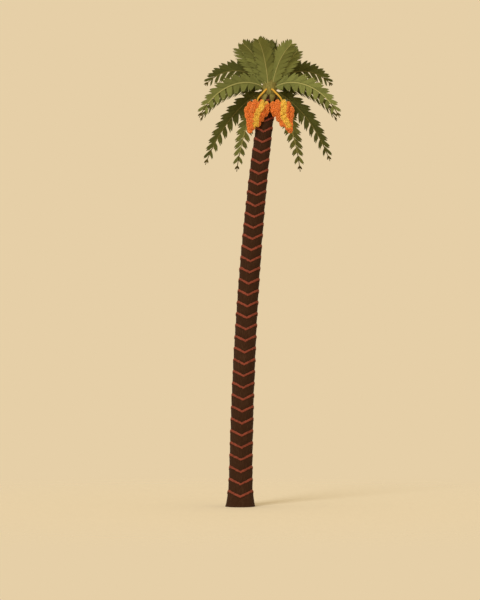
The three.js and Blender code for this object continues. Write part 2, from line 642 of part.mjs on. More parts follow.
export default palm();
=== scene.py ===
# A date palm: a ringed bark trunk, old leaf bases and a heart at its top, tiers of arching fronds with
# fine leaflets, a closed spear leaf and three bunches of dates on stalks. Metres, +Z up, the front is -Y,
# and azimuths are degrees from +X, turning towards +Y.
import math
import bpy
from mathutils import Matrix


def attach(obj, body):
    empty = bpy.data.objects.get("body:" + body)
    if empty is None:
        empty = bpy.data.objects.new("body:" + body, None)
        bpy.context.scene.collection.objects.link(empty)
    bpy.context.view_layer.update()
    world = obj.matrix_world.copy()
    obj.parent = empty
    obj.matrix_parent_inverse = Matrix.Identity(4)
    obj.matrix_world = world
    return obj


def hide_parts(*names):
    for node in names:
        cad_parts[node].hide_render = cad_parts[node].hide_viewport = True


bl_info = {
    "name": "Date palm",
    "version": (1, 0, 0),
    "blender": (4, 5, 0),
    "location": "View3D > Sidebar > Date palm",
    "description": "Builds a date palm with bark, fronds and bunches of dates around its packed frame",
    "category": "Add Mesh",
}

import bpy
import numpy as np
from bpy.props import FloatProperty
from bpy.props import FloatVectorProperty
from bpy.props import IntProperty
from bpy.props import PointerProperty

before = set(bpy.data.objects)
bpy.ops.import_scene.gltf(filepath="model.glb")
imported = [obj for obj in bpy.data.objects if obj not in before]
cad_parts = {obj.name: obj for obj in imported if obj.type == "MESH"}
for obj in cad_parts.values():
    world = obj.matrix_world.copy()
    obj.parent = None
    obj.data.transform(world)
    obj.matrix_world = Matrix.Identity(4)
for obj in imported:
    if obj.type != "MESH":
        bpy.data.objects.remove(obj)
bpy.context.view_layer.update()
BODY = "root"
UP = np.array((0.0, 0.0, 1.0))
SEEDS = dict(trunk=11, splinters=23, leaf_bases=31, heart=5, spear=61, fronds=100, dates=40)

# The trunk, as in the part's source
CROWN_HEIGHT = 12.5
TRUNK_TOP = 12.33
LEAN = 0.87
LEAN_EVENLY = 0.2
LEAN_CURVE = 2.3
LOW_RADIUS = 0.345
SLIM_EVENLY = 0.063
SLIM_NEAR_TOP = 0.057
FLARE = 0.105
FLARE_HEIGHT = 0.36
FOOT_HEIGHT = 0.15
COURSES = 36
FIRST_SCAR = 0.312
LOW_PITCH = 0.369
PITCH_STEP = 0.0018
LIP_HEIGHT = 0.066
LIP_PROUD = 0.018
LIP_UNDERCUT = 0.008
SCAR_DEPTH = (0.06, 0.27)
SCARS = ((270, 70), (35, 55), (145, 55))  # middle and half width of the three files of scars, in degrees

# The heart and the spear leaf: heights above where each starts, and radii
HEART_PROFILE = ((0, 0.205), (0.09, 0.225), (0.2, 0.225), (0.34, 0.205), (0.46, 0.15), (0.54, 0.06))
SPEAR_PROFILE = ((-0.06, 0.042), (0.25, 0.046), (0.7, 0.034), (1.15, 0.006))

# Fronds, as in the part's source
BLADE_FROM = 0.075
TUFT_LENGTHS = (0.23, 0.1)
BEND_SPREAD = (0.9, 1.15)
SHORT_FROND = (0.3, 3.6)
VALLEY = 16
ROLL_DONE = 0.14
BEND_STEPS = 40
RIB_END = 0.04
RIB_FOOT = (0.042, 0.032)
RIB_BLADE = (0.027, 0.018)
RIB_TIP = (0.012, 0.007)

# Three forms of blade: to where the close leaflets end and how they swell. Of its upper and its lower side:
# reach, how long the leaflets are beside the swell, and low and high on it their sweep from the rib, how
# far they sink, half a group's width in its room, and where along a group its rear and its front edge are
# widest. Past close the groups stand apart, and the last fills that share of its room. bundled says how far
# the feet of lower leaflets are drawn together, at least and at most.
FEATHER = dict(to=0.82, tufts=((0.835, 0.885), (0.94, 0.958)), least=0.55, span=(0.15, 0.96), ease=0.85,
               reach=(1.25, 1.1), sweep=((38, 29), (58, 46)), sink=((0, 0.1), (0.05, 0.35)),
               wide=((0.48, 0.5), (0.47, 0.455)), rear=((0.8, 0.82), (0.7, 0.6)),
               front=((0.74, 0.76), (0.6, 0.45)), close=0.4, fill=0.84, bundled=(0.35, 0.8))
SHORT_FEATHER = dict(FEATHER, wide=((0.48, 0.49), (0.475, 0.45)), rear=((0.86, 0.86), (0.78, 0.72)),
                     front=((0.82, 0.8), (0.74, 0.66)), close=0.8, fill=0.85, bundled=(0.2, 0.6))
PADDLE = dict(to=0.97, tufts=(), least=0.4, span=(0.2, 1), ease=1.35,
              reach=(1, 1), sweep=((50, 28), (50, 28)), sink=((0, 0), (0, 0)),
              wide=((0.47, 0.46), (0.47, 0.46)), rear=((0.82, 0.7), (0.82, 0.7)),
              front=((0.88, 0.8), (0.88, 0.8)), close=1, fill=1, bundled=(0, 0.3))
LEVEL = (-0.1, 0.4)  # a side that rises less than the first is a lower one, and more than the second an upper
GROUP_END = ((0.9, -0.6), (0.8, -0.22), (1, 0.15))  # along and across: a group's point, notch and point

# launch and fall are degrees above the horizon at a frond's foot and lost on the way to its tip; up and
# out say where the petioles start in the heart. Each frond has its azimuth and its share of the length.
# tone picks the olive leaf and rib, the leaflets' own colour, or their darker copies, which are painted
# shade for the tiers at the back and underneath.
TIERS = (
    dict(name="skirt", tone="dark", up=0.168, out=0.06, launch=-15, fall=55, bend=0.55, length=3.0,
         groups=8, roll=64, girth=1, leafy=0.62, blade=FEATHER, fronds=((180, 1), (0, 0.95))),
    dict(name="under", tone="olive", up=0.13, out=0.06, launch=-16, fall=60, bend=0.75, length=3.17,
         groups=9, roll=-30, girth=1, leafy=0.58, blade=FEATHER, fronds=((119, 1), (61, 1))),
    dict(name="arch", tone="olive", up=0.128, out=0.06, launch=50, fall=112, bend=0.6, length=2.8,
         groups=8, roll=66, girth=1, leafy=0.62, blade=FEATHER, fronds=((209, 1), (331, 1))),
    dict(name="back_arch", tone="dark", up=0.13, out=0.06, launch=35, fall=93, bend=0.7, length=2.7,
         groups=8, roll=60, girth=1, leafy=0.7, blade=FEATHER, fronds=((151, 1), (90, 0.9), (29, 1))),
    dict(name="shoulder", tone="dark", up=0.235, out=0.06, launch=55, fall=105, bend=1, length=2.22,
         groups=7, roll=64, girth=1, leafy=0.76, blade=SHORT_FEATHER, fronds=((168, 1), (12, 0.97))),
    dict(name="back_shoulder", tone="dark", up=0.19, out=0.06, launch=52, fall=98, bend=1.1, length=2.4,
         groups=8, roll=40, girth=1, leafy=0.8, blade=SHORT_FEATHER, fronds=((113, 1), (58, 1))),
    dict(name="fan", tone="olive", up=0.24, out=0.14, launch=76, fall=52, bend=1.1, length=1.9,
         groups=8, roll=-75, girth=0.72, leafy=1, blade=PADDLE,
         fronds=((225, 0.87), (253, 0.94), (306, 0.87))),
    dict(name="side_fan", tone="olive", up=0.24, out=0.14, launch=64, fall=24, bend=1.1, length=1.45,
         groups=8, roll=-75, girth=0.72, leafy=1.15, blade=PADDLE,
         fronds=((203, 1), (332, 0.92))),
    dict(name="back_fan", tone="dark", up=0.26, out=0.13, launch=78, fall=60, bend=1.1, length=1.9,
         groups=8, roll=75, girth=0.72, leafy=1, blade=PADDLE,
         fronds=((33, 0.76), (78, 0.92), (140, 0.82))),
    dict(name="young", tone="olive", up=0.39, out=0.092, launch=84, fall=30, bend=1.3, length=1.3,
         groups=6, roll=0, girth=0.5, leafy=0.8, blade=PADDLE,
         fronds=((268, 1), (25, 0.95), (145, 0.9))),
)
SPLIT_BEND = 80  # a frond that bends more than this is two nodes in the frame

# Bunches of dates, as in the part's source. yellow is the line that the yellow dates follow, aside and up
# from the crown's middle.
BUNCHES = (
    dict(name="left", stalk=246, at=(-0.325, -0.3), lean=(-0.13, 0), long=-1, spread=0.27, drop=0.79,
         strands=8, yellow=((-0.126, -0.37), (-0.306, -0.64), (-0.396, -0.85), (-0.41, -1.12))),
    dict(name="right", stalk=294, at=(0.338, -0.3), lean=(0.165, 0), long=1, spread=0.25, drop=0.79,
         strands=8, yellow=((0.459, -0.34), (0.414, -0.61), (0.429, -0.85), (0.579, -1.09))),
    dict(name="back", stalk=107, at=(-0.04, 0.345), lean=(-0.07, 0.06), long=0, spread=0.12, drop=0.76,
         strands=5, yellow=((0.02, -0.4), (-0.06, -0.75), (-0.02, -1.1))),
)
BUNCH_TOP = -0.43
BUNCH_SHOULDER = 0.07
BUNCH_DEEP = 0.7
BUNCH_NARROWS = (0.5, 1.8)
BUNCH_BELLY = 0.3
BUNCH_UNEVEN = 0.2
BUNCH_CORE = ((0.02, 0.75), (0.45, 0.75), (0.72, 0.4))
LUMP_RADIUS = 0.088
LUMP_STRETCH = 1.35
LUMP_PITCH = 0.155
YELLOW_REACH = 0.085
STALK_RADIUS = 0.027
STALK_HEIGHTS = (0.01, -0.015, -0.105, -0.215, -0.33, BUNCH_TOP - 0.04)
STALK_REACH = (0.08, 0.25)
STALK_BEND = (0.36, 0.82, 1.12, 1)

# Old leaf bases round the top of the bark: heights beside TRUNK_TOP with half widths and with how far they
# stand out
BASES = (0, 60, 120, 180, 240, 300)
BASE_OUTLINE = ((-0.262, 0.005), (-0.225, 0.038), (-0.14, 0.084), (-0.03, 0.118), (0, 0.1), (0.018, 0.098))
BASE_PROFILE = ((-0.262, 0.012), (-0.06, 0.03), (0.018, 0.006))
CLEAR_OF_BARK = 0.005


def lerp(first, last, share):
    return first + (last - first) * share


def smooth(value, low, high):
    """A smooth step from 0 at low to 1 at high."""
    share = np.clip((value - low) / (high - low), 0, 1)
    return share * share * (3 - 2 * share)


def unit(vectors):
    return vectors / np.linalg.norm(vectors, axis=-1, keepdims=True)


def level(radius, angle):
    """Places in a level plane, at a radius and angle from the middle."""
    return np.stack((radius * np.cos(angle), radius * np.sin(angle), 0 * angle), axis=-1)


def facing(angle):
    """The level directions that face out at an angle, and to the left of that."""
    return level(1, angle), np.stack((-np.sin(angle), np.cos(angle), 0 * angle), axis=-1)


def turns(count, whole=2 * math.pi):
    """Even steps round a whole turn."""
    return np.arange(count) * whole / count


def golden_turns(number):
    """Turns that spread numbered things round an axis with none in line."""
    return number * math.pi * (3 - math.sqrt(5))


def soften(values):
    """Smooth a closed row of random numbers."""
    return (np.roll(values, 1, axis=-1) + 2 * values + np.roll(values, -1, axis=-1)) / 4


def uneven_row(random, size, count):
    """A closed row of random numbers round 0."""
    return soften(random.normal(0, size, count))


def next_ridges(ridges, random, change=0.35, gain=1.04):
    """The ridges of the row above, which follow those of the row below with some change."""
    return soften(ridges + random.normal(0, change, len(ridges))) * gain


def linear(colour):
    """A screen colour, 0 to 255, as the linear colour of a shader, with its alpha."""
    shares = np.array(colour) / 255
    return (*np.where(shares > 0.04045, ((shares + 0.055) / 1.055) ** 2.4, shares / 12.92), 1.0)


def axis_at(z):
    """Middle of the trunk at heights z."""
    z = np.asarray(z, float)
    t = np.maximum(z, 0) / CROWN_HEIGHT
    x = LEAN * (LEAN_EVENLY * t + (1 - LEAN_EVENLY) * t ** LEAN_CURVE)
    return np.stack((x, np.zeros_like(x), z), axis=-1)


def trunk_radius(z):
    t = z / CROWN_HEIGHT
    return LOW_RADIUS - SLIM_EVENLY * t - SLIM_NEAR_TOP * t ** 4 + FLARE * np.exp(-z / FLARE_HEIGHT)


class PalmTrunkSettings(bpy.types.PropertyGroup):
    """Relief and colours of the trunk and the heart"""

    columns: IntProperty(
        name="Columns", description="Faces round the trunk, a multiple of 72", default=144, min=72)
    fibre_relief: FloatProperty(
        name="Fibre relief", description="Height of the fibres in the bark", default=0.004, unit="LENGTH")
    splinters: IntProperty(
        name="Splinters", description="Loose fibres on each ring of scars", default=54, min=0)
    bark: FloatVectorProperty(
        name="Bark", description="Dark fibre of the bark", subtype="COLOR", size=4,
        default=linear((51, 29, 14)))
    bark_worn: FloatVectorProperty(
        name="Worn bark", description="Ridges of the bark that the weather has paled", subtype="COLOR",
        size=4, default=linear((70, 46, 30)))
    scar: FloatVectorProperty(
        name="Scar", description="Cut edges of the old leaf bases", subtype="COLOR", size=4,
        default=linear((133, 64, 47)))
    scar_dark: FloatVectorProperty(
        name="Dark scar", description="Cracks in the cut edges", subtype="COLOR", size=4,
        default=linear((84, 38, 26)))
    heart: FloatVectorProperty(
        name="Heart", description="Young leaf bases", subtype="COLOR", size=4,
        default=linear((132, 127, 66)))
    sheath: FloatVectorProperty(
        name="Sheath", description="Brown fibre between the leaf bases", subtype="COLOR", size=4,
        default=linear((96, 82, 44)))


class PalmFrondSettings(bpy.types.PropertyGroup):
    """Leaflets, ribs and their colours; the darker leaf and rib colours are painted shade"""

    leaflet_length: FloatProperty(
        name="Leaflet length", description="Longest leaflet of a full frond", default=0.66, unit="LENGTH")
    leaflets_per_group: IntProperty(
        name="Leaflets in a group", description="Leaflets that make up one group of a blade", default=9,
        min=1)
    droop: FloatProperty(
        name="Droop", description="How far a leaflet's tip sinks, as a share of its length", default=0.05)
    fold: FloatProperty(
        name="Fold", description="Depth of a leaflet's fold beside its half width", default=0.3)
    olive: FloatVectorProperty(
        name="Olive leaf", description="Leaflets of the fronds in the light", subtype="COLOR", size=4,
        default=linear((116, 122, 70)))
    # painted shade: the olive leaf darkened for the fronds at the back and underneath
    dark: FloatVectorProperty(
        name="Dark leaf", description="Leaflets of the fronds in the shade", subtype="COLOR", size=4,
        default=linear((79, 82, 41)))
    olive_rib: FloatVectorProperty(
        name="Olive rib", description="Ribs of the fronds in the light", subtype="COLOR", size=4,
        default=linear((156, 156, 100)))
    # painted shade: the olive rib darkened for the same fronds
    dark_rib: FloatVectorProperty(
        name="Dark rib", description="Ribs of the fronds in the shade", subtype="COLOR", size=4,
        default=linear((98, 94, 50)))
    dry_tip: FloatVectorProperty(
        name="Dry tip", description="Withered tips of the leaflets", subtype="COLOR", size=4,
        default=linear((80, 72, 34)))


class PalmDateSettings(bpy.types.PropertyGroup):
    """Dates, their stalks and their colours"""

    date_length: FloatProperty(
        name="Date length", description="Length of one date", default=0.058, unit="LENGTH")
    date_width: FloatProperty(
        name="Date width", description="Width of one date", default=0.037, unit="LENGTH")
    dates_per_cluster: IntProperty(
        name="Dates in a cluster", description="Dates round each swelling of a strand", default=52, min=8)
    orange: FloatVectorProperty(
        name="Orange date", description="Ripening dates", subtype="COLOR", size=4,
        default=linear((228, 126, 42)))
    yellow: FloatVectorProperty(
        name="Yellow date", description="Younger dates", subtype="COLOR", size=4,
        default=linear((235, 193, 72)))
    stalk: FloatVectorProperty(
        name="Stalk", description="Stalks and strands of the bunches", subtype="COLOR", size=4,
        default=linear((220, 176, 76)))


class PalmStageSettings(bpy.types.PropertyGroup):
    """Camera, light and floor"""

    distance: FloatProperty(
        name="Camera distance", description="From the camera to the tree", default=90, unit="LENGTH")
    eye_height: FloatProperty(
        name="Camera height", description="Height of the level camera", default=6.19, unit="LENGTH")
    picture_height: FloatProperty(
        name="Picture height", description="Height that the picture takes in at the tree", default=18,
        unit="LENGTH")
    floor_radius: FloatProperty(
        name="Floor radius", description="Where the floor has faded out", default=16, unit="LENGTH")
    backdrop: FloatVectorProperty(
        name="Backdrop", description="Plain light all round", subtype="COLOR", size=4,
        default=linear((230, 207, 167)))
    floor: FloatVectorProperty(
        name="Floor", description="Pale floor", subtype="COLOR", size=4, default=linear((230, 224, 209)))
    sun: FloatProperty(name="Sun", description="Strength of the soft sun", default=1.6)


SETTINGS = {
    "palm_trunk": PalmTrunkSettings,
    "palm_fronds": PalmFrondSettings,
    "palm_dates": PalmDateSettings,
    "palm_stage": PalmStageSettings,
}


class Value:
    """A number that varies over a surface; arithmetic on it adds Math nodes."""

    def __init__(self, finish, socket):
        self.finish = finish
        self.socket = socket

    def math(self, operation, *values):
        node = self.finish.node("ShaderNodeMath", {"operation": operation}, dict(enumerate(values)))
        return Value(self.finish, node.outputs[0])

    def __add__(self, other):
        return self.math("ADD", self, other)

    def __radd__(self, other):
        return self.math("ADD", other, self)

    def __sub__(self, other):
        return self.math("SUBTRACT", self, other)

    def __rsub__(self, other):
        return self.math("SUBTRACT", other, self)

    def __mul__(self, other):
        return self.math("MULTIPLY", self, other)

    def __rmul__(self, other):
        return self.math("MULTIPLY", other, self)


class Finish:
    """One material with its nodes around a Principled shader."""

    def __init__(self, name, **sockets):
        self.material = bpy.data.materials.new(name)
        self.material.use_nodes = True
        self.nodes = self.material.node_tree.nodes
        self.links = self.material.node_tree.links
        self.shader = self.nodes["Principled BSDF"]
        for socket, value in sockets.items():
            self.set(socket.replace("_", " "), value)

    def put(self, socket, value):
        if isinstance(value, Value):
            self.links.new(value.socket, socket)
        elif isinstance(value, bpy.types.NodeSocket):
            self.links.new(value, socket)
        else:
            socket.default_value = value

    def set(self, socket, value):
        """Give one of the shader's sockets a value or a link."""
        self.put(self.shader.inputs[socket], value)

    def node(self, kind, settings, inputs):
        """Add a node: its settings first, then the values or links of its sockets."""
        node = self.nodes.new(kind)
        for name, value in settings.items():
            if name == "stops":
                for element, (position, shade) in zip(node.color_ramp.elements, value):
                    element.position = position
                    element.color = (shade, shade, shade, 1)
            else:
                setattr(node, name, value)
        for key, value in inputs.items():
            self.put(node.inputs[key], value)
        return node

    def place(self, scale):
        """Coordinates of the surface in metres, times scale along each axis."""
        coordinates = self.node("ShaderNodeTexCoord", {}, {})
        return self.node("ShaderNodeVectorMath", {"operation": "MULTIPLY"},
                         {0: coordinates.outputs["Object"], 1: scale}).outputs[0]

    def noise(self, scale, detail=3.0, distortion=0.0):
        """Even noise around 0.5; scale is how many times it changes in a metre along each axis."""
        node = self.node("ShaderNodeTexNoise", {}, {
            "Vector": self.place(scale), "Scale": 1.0, "Detail": detail, "Distortion": distortion})
        return Value(self, node.outputs["Fac"])

    def ramp(self, value, low, high):
        """The value spread over 0 to 1 between low and high."""
        node = self.node("ShaderNodeValToRGB", {"stops": ((low, 0), (high, 1))}, {"Fac": value})
        return Value(self, node.outputs["Color"])

    def mix(self, share, first, second):
        """A colour between two others."""
        node = self.node("ShaderNodeMix", {"data_type": "RGBA"}, {
            "Factor": share, 6: first, 7: second})
        return node.outputs[2]

    def bump(self, height, distance, strength=1.0):
        node = self.node("ShaderNodeBump", {}, {
            "Strength": strength, "Distance": distance, "Height": height})
        self.set("Normal", node.outputs["Normal"])


def shade(colour, factor):
    """A lighter or darker tone of a colour."""
    return (*(min(1.0, channel * factor) for channel in colour[:3]), 1.0)


def bark_finish(trunk):
    """Dark matted fibre, paled by the weather where it stands out."""
    finish = Finish("bark_fibre", Specular_IOR_Level=0.2)
    fibre = finish.noise((70, 70, 7), detail=5, distortion=0.4)
    weather = finish.noise((2.2, 2.2, 1.1))
    pale = finish.ramp(fibre * 0.75 + weather * 0.25, low=0.47, high=0.68)
    finish.set("Base Color", finish.mix(pale * 0.8, trunk.bark, trunk.bark_worn))
    finish.set("Roughness", 0.98 - pale * 0.12)
    finish.bump(fibre, distance=0.012, strength=0.8)
    return finish.material


def scar_finish(trunk):
    """Red-brown cut edges of old leaf bases, with dark cracks."""
    finish = Finish("cut_leaf_base", Specular_IOR_Level=0.25)
    grain = finish.noise((60, 60, 120), detail=4)
    patch = finish.noise((9, 9, 9))
    crack = finish.ramp(grain * 0.6 + patch * 0.4, low=0.36, high=0.52)
    finish.set("Base Color", finish.mix(crack, trunk.scar_dark, trunk.scar))
    finish.set("Roughness", 0.9 - crack * 0.1)
    finish.bump(grain, distance=0.006, strength=0.7)
    return finish.material


def heart_finish(trunk):
    """Green young leaf bases under a net of brown fibre."""
    finish = Finish("young_leaf_base", Specular_IOR_Level=0.3)
    fibre = finish.noise((55, 55, 6), detail=4)
    net = finish.ramp(fibre, low=0.5, high=0.62)
    finish.set("Base Color", finish.mix(net * 0.7, trunk.heart, trunk.sheath))
    finish.set("Roughness", 0.7 + net * 0.2)
    finish.bump(fibre, distance=0.006, strength=0.6)
    return finish.material


def fibre_finish(trunk):
    """Coarse brown fibre at the edges of the leaf bases."""
    finish = Finish("leaf_base_fibre", Specular_IOR_Level=0.2)
    strand = finish.noise((70, 70, 9), detail=5, distortion=0.6)
    pale = finish.ramp(strand, low=0.4, high=0.6)
    finish.set("Base Color", finish.mix(pale, trunk.bark, trunk.sheath))
    finish.set("Roughness", 0.98 - strand * 0.1)
    finish.bump(strand, distance=0.01, strength=0.8)
    return finish.material


def leaf_finish(name, colour):
    """Matt leaf, a little uneven in tone."""
    finish = Finish(name, Specular_IOR_Level=0)
    uneven = finish.noise((11, 11, 11), detail=2)
    finish.set("Base Color", finish.mix(uneven, shade(colour, 0.86), shade(colour, 1.14)))
    finish.set("Roughness", 0.6 + uneven * 0.2)
    return finish.material


def rib_finish(name, colour):
    """Woody rib or stalk, a little streaked."""
    finish = Finish(name, Specular_IOR_Level=0)
    streak = finish.noise((40, 40, 40), detail=3)
    finish.set("Base Color", finish.mix(streak, shade(colour, 0.8), shade(colour, 1.18)))
    finish.set("Roughness", 0.42 + streak * 0.2)
    finish.bump(streak, distance=0.003, strength=0.4)
    return finish.material


def date_finish(name, colour):
    """Smooth taut skin with a faint bloom."""
    finish = Finish(name, Specular_IOR_Level=0.5, Coat_Weight=0.25, Coat_Roughness=0.3)
    bloom = finish.noise((34, 34, 34), detail=2)
    finish.set("Base Color", finish.mix(bloom, shade(colour, 0.84), shade(colour, 1.12)))
    finish.set("Roughness", 0.3 + bloom * 0.3)
    return finish.material


class Shape:
    """Corners and faces that are gathered into one mesh."""

    def __init__(self):
        self.points = []
        self.faces = []
        self.tones = []
        self.count = 0

    def add(self, points, faces, tones):
        """Add corners, faces of their numbers, and each face's material number."""
        points = np.asarray(points, float).reshape(-1, 3)
        faces = np.asarray(faces, int)
        self.points.append(points)
        self.faces.append(faces + self.count)
        self.tones.append(np.broadcast_to(tones, len(faces)))
        self.count += len(points)

    def grid(self, points, tones, closed=False):
        """Add a sheet of corners, rows by columns, closed round if it is a tube."""
        rows, columns = points.shape[:2]
        row, column = np.meshgrid(np.arange(rows - 1), np.arange(columns if closed else columns - 1),
                                  indexing="ij")
        beside = (column + 1) % columns
        faces = np.stack((row * columns + column, row * columns + beside,
                          (row + 1) * columns + beside, (row + 1) * columns + column), axis=-1)
        tones = np.broadcast_to(tones, row.shape)
        self.add(points, faces.reshape(-1, 4), tones.ravel())

    def cap(self, ring, tone, top):
        """Close the end of a tube."""
        n = len(ring)
        ring_numbers = np.arange(n)
        centre = np.full(n, n)
        beside = (ring_numbers + 1) % n
        order = (ring_numbers, beside, centre) if top else (beside, ring_numbers, centre)
        self.add(np.vstack((ring, ring.mean(axis=0))), np.stack(order, axis=-1), tone)

    def solid(self, rings, tones=0, ends=(0, 0)):
        """Add a tube that is closed at both ends, each of which has its own material number."""
        self.grid(np.array(rings), tones, closed=True)
        self.cap(rings[0], ends[0], top=False)
        self.cap(rings[-1], ends[1], top=True)

    def piece(self, name, nodes, materials, flat=False):
        """Make the mesh ride on the body in place of frame nodes."""
        faces = [face for block in self.faces for face in block.tolist()]
        mesh = bpy.data.meshes.new(name)
        mesh.from_pydata(np.vstack(self.points).tolist(), [], faces)
        for material in materials:
            mesh.materials.append(material)
        mesh.polygons.foreach_set("material_index", np.concatenate(self.tones).astype(np.int32))
        mesh.polygons.foreach_set("use_smooth", np.full(len(faces), not flat))
        mesh.update()
        obj = bpy.data.objects.new(name, mesh)
        bpy.context.scene.collection.objects.link(obj)
        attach(obj, BODY)
        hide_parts(*nodes)


def scar_rise(azimuth):
    """How far the scar ring stands from its valley, 0, to its peak, 1, at azimuths in degrees."""
    rise = np.zeros_like(azimuth)
    inside = np.zeros_like(azimuth)
    for middle, half in SCARS:
        off = (azimuth - middle + 180) % 360 - 180
        here = np.abs(off) <= half
        rise = np.where(here, np.abs(np.sin(np.radians(off))) / math.sin(math.radians(half)), rise)
        inside = np.where(here, np.cos(np.radians(off) * 90 / half), inside)
    return rise, inside


def scar_height(course):
    return FIRST_SCAR + course * LOW_PITCH - PITCH_STEP * course * (course - 1) / 2


def scar_depth(course):
    return SCAR_DEPTH[0] + SCAR_DEPTH[1] * trunk_radius(scar_height(course))


def around(z, proud, azimuth):
    """Points on the bark, proud of the trunk's radius at heights z."""
    return axis_at(z) + level(trunk_radius(z) + proud, np.radians(azimuth))


# Across a lip from below: height beside the lip's middle as a share of its half height, and how proud
LIP_ROWS = ((-1.06, -0.002), (-1.0, 0.01), (-0.88, 0.015), (-0.5, 0.018), (0.0, 0.019), (0.5, 0.018),
            (0.86, 0.015), (1.0, 0.009), (1.08, -0.006))
LIP_JAG = (0.007, 0.006)  # how uneven a lip's lower and upper edges are
LIP_ROUGH = 0.004
BODY_ROWS = 17  # rings of bark between one lip and the next
BODY_REACH = (1.2, 1.3)  # they begin and end this many half lips from the middles of the two lips
BODY_RISE = 0.013  # how far the bark stands out more under the upper lip
SHIELD_SWELL = 0.007  # how far the bark swells over a scar's file
SHIELD_GROOVE = 0.008  # and sinks between two files
FOOT_ROWS = 12
FOOT_RELIEF = 1.6  # how much stronger the fibres of the foot are
FOOT_RIDGES = dict(change=0.3, gain=1.05)
NECK = (0.35, 0.7, 1.0)  # rings between the highest lip and the top of the bark
BARK_TONE = 0
SCAR_TONE = 1


def trunk_rows(first, last, columns, relief, random):
    """Rings of the bark from one course to another, and the material of the faces above each."""
    azimuth = turns(columns, 360)
    rise, inside = scar_rise(azimuth)
    rings = []
    tones = []
    for course in range(first, last + 1):
        line = scar_height(course) + scar_depth(course) * rise
        low_jag, high_jag, rough = (uneven_row(random, size, columns) for size in (*LIP_JAG, LIP_ROUGH))
        for share, proud in LIP_ROWS:
            jag = low_jag * max(0.0, -share) + high_jag * max(0.0, share)
            rings.append(around(line + share * LIP_HEIGHT / 2 + jag, proud + rough, azimuth))
            tones.append(SCAR_TONE)
        tones[-1] = BARK_TONE
        if course == last:
            continue
        above = scar_height(course + 1) + scar_depth(course + 1) * rise
        bottom = line + LIP_HEIGHT / 2 * BODY_REACH[0] + high_jag
        top = above - LIP_HEIGHT / 2 * BODY_REACH[1]
        ridges = uneven_row(random, 1, columns)
        for row in range(BODY_ROWS):
            share = row / (BODY_ROWS - 1)
            ridges = next_ridges(ridges, random)
            shield = SHIELD_SWELL * inside * math.sin(math.pi * share) - SHIELD_GROOVE * (1 - inside) ** 4
            proud = -LIP_UNDERCUT + BODY_RISE * share + shield + relief * ridges
            rings.append(around(lerp(bottom, top, share), proud, azimuth))
            tones.append(BARK_TONE)
    return rings, tones


def foot_rows(columns, relief, random):
    """Rings from the flat cut at the ground to the lowest scar."""
    azimuth = turns(columns, 360)
    line = scar_height(0) + scar_depth(0) * scar_rise(azimuth)[0] - LIP_HEIGHT / 2 * BODY_REACH[1]
    ridges = uneven_row(random, 1, columns)
    rings = []
    for share in np.linspace(0, 1, FOOT_ROWS):
        ridges = next_ridges(ridges, random, **FOOT_RIDGES)
        height = FOOT_HEIGHT * min(1.0, share * 2)
        z = lerp(np.full(columns, height), line, max(0.0, share * 2 - 1))
        rings.append(around(z, FOOT_RELIEF * relief * ridges, azimuth))
    return rings


def make_trunk(trunk):
    """The bark in two pieces that meet in the recess under a ring of scars."""
    materials = (bark_finish(trunk), scar_finish(trunk))
    random = np.random.default_rng(SEEDS["trunk"])
    columns = trunk.columns
    middle = COURSES // 2
    low_rings, low_tones = trunk_rows(0, middle, columns, trunk.fibre_relief, random)
    foot = foot_rows(columns, trunk.fibre_relief, random)
    lips = len(LIP_ROWS)
    seam = low_rings[-lips]
    low = Shape()
    rings = foot + low_rings[:-lips] + [seam]
    tones = [BARK_TONE] * len(foot) + low_tones[:-lips]
    low.solid(rings, np.array(tones)[:, None])
    low.piece("trunk_low_bark", ["trunk"], materials)

    high_rings, high_tones = trunk_rows(middle + 1, COURSES - 1, columns, trunk.fibre_relief, random)
    rest, rest_tones = low_rings[-lips:], low_tones[-lips:]
    join = trunk_join(rest[-1], high_rings[0], trunk.fibre_relief, random)
    top = around(np.full(columns, TRUNK_TOP), LIP_PROUD / 2, turns(columns, 360))
    neck = [lerp(high_rings[-1], top, share) for share in NECK]
    rings = rest + join + high_rings + neck
    tones = rest_tones + [BARK_TONE] * len(join) + high_tones + [BARK_TONE] * (len(neck) - 1)
    high = Shape()
    high.solid(rings, np.array(tones)[:, None])
    high.piece("trunk_high_bark", ["trunk"], materials)


def trunk_join(below, above, relief, random):
    """Rings between the lip that starts the upper piece and the next lip."""
    rings = []
    ridges = uneven_row(random, 1, len(below))
    for row in range(1, BODY_ROWS):
        share = row / BODY_ROWS
        ridges = next_ridges(ridges, random)
        ring = lerp(below, above, share)
        out = unit((ring - axis_at(ring[:, 2])) * (1, 1, 0))
        rings.append(ring + out * (relief * ridges)[:, None])
    return rings


SPLINTER_EDGE = 0.48  # how far from a lip's middle they start, in lip heights
SPLINTER_ROOT = 0.008  # and how proud of the bark
SPLINTER_LENGTHS = (0.02, 0.055)
SPLINTER_LEANS = (0.1, 0.45)  # how far they stand out beside their length
SPLINTER_TWIST = 2.5  # degrees round the trunk
SPLINTER_HALF = 0.0035  # half width
SPLINTER_THICK = 0.004


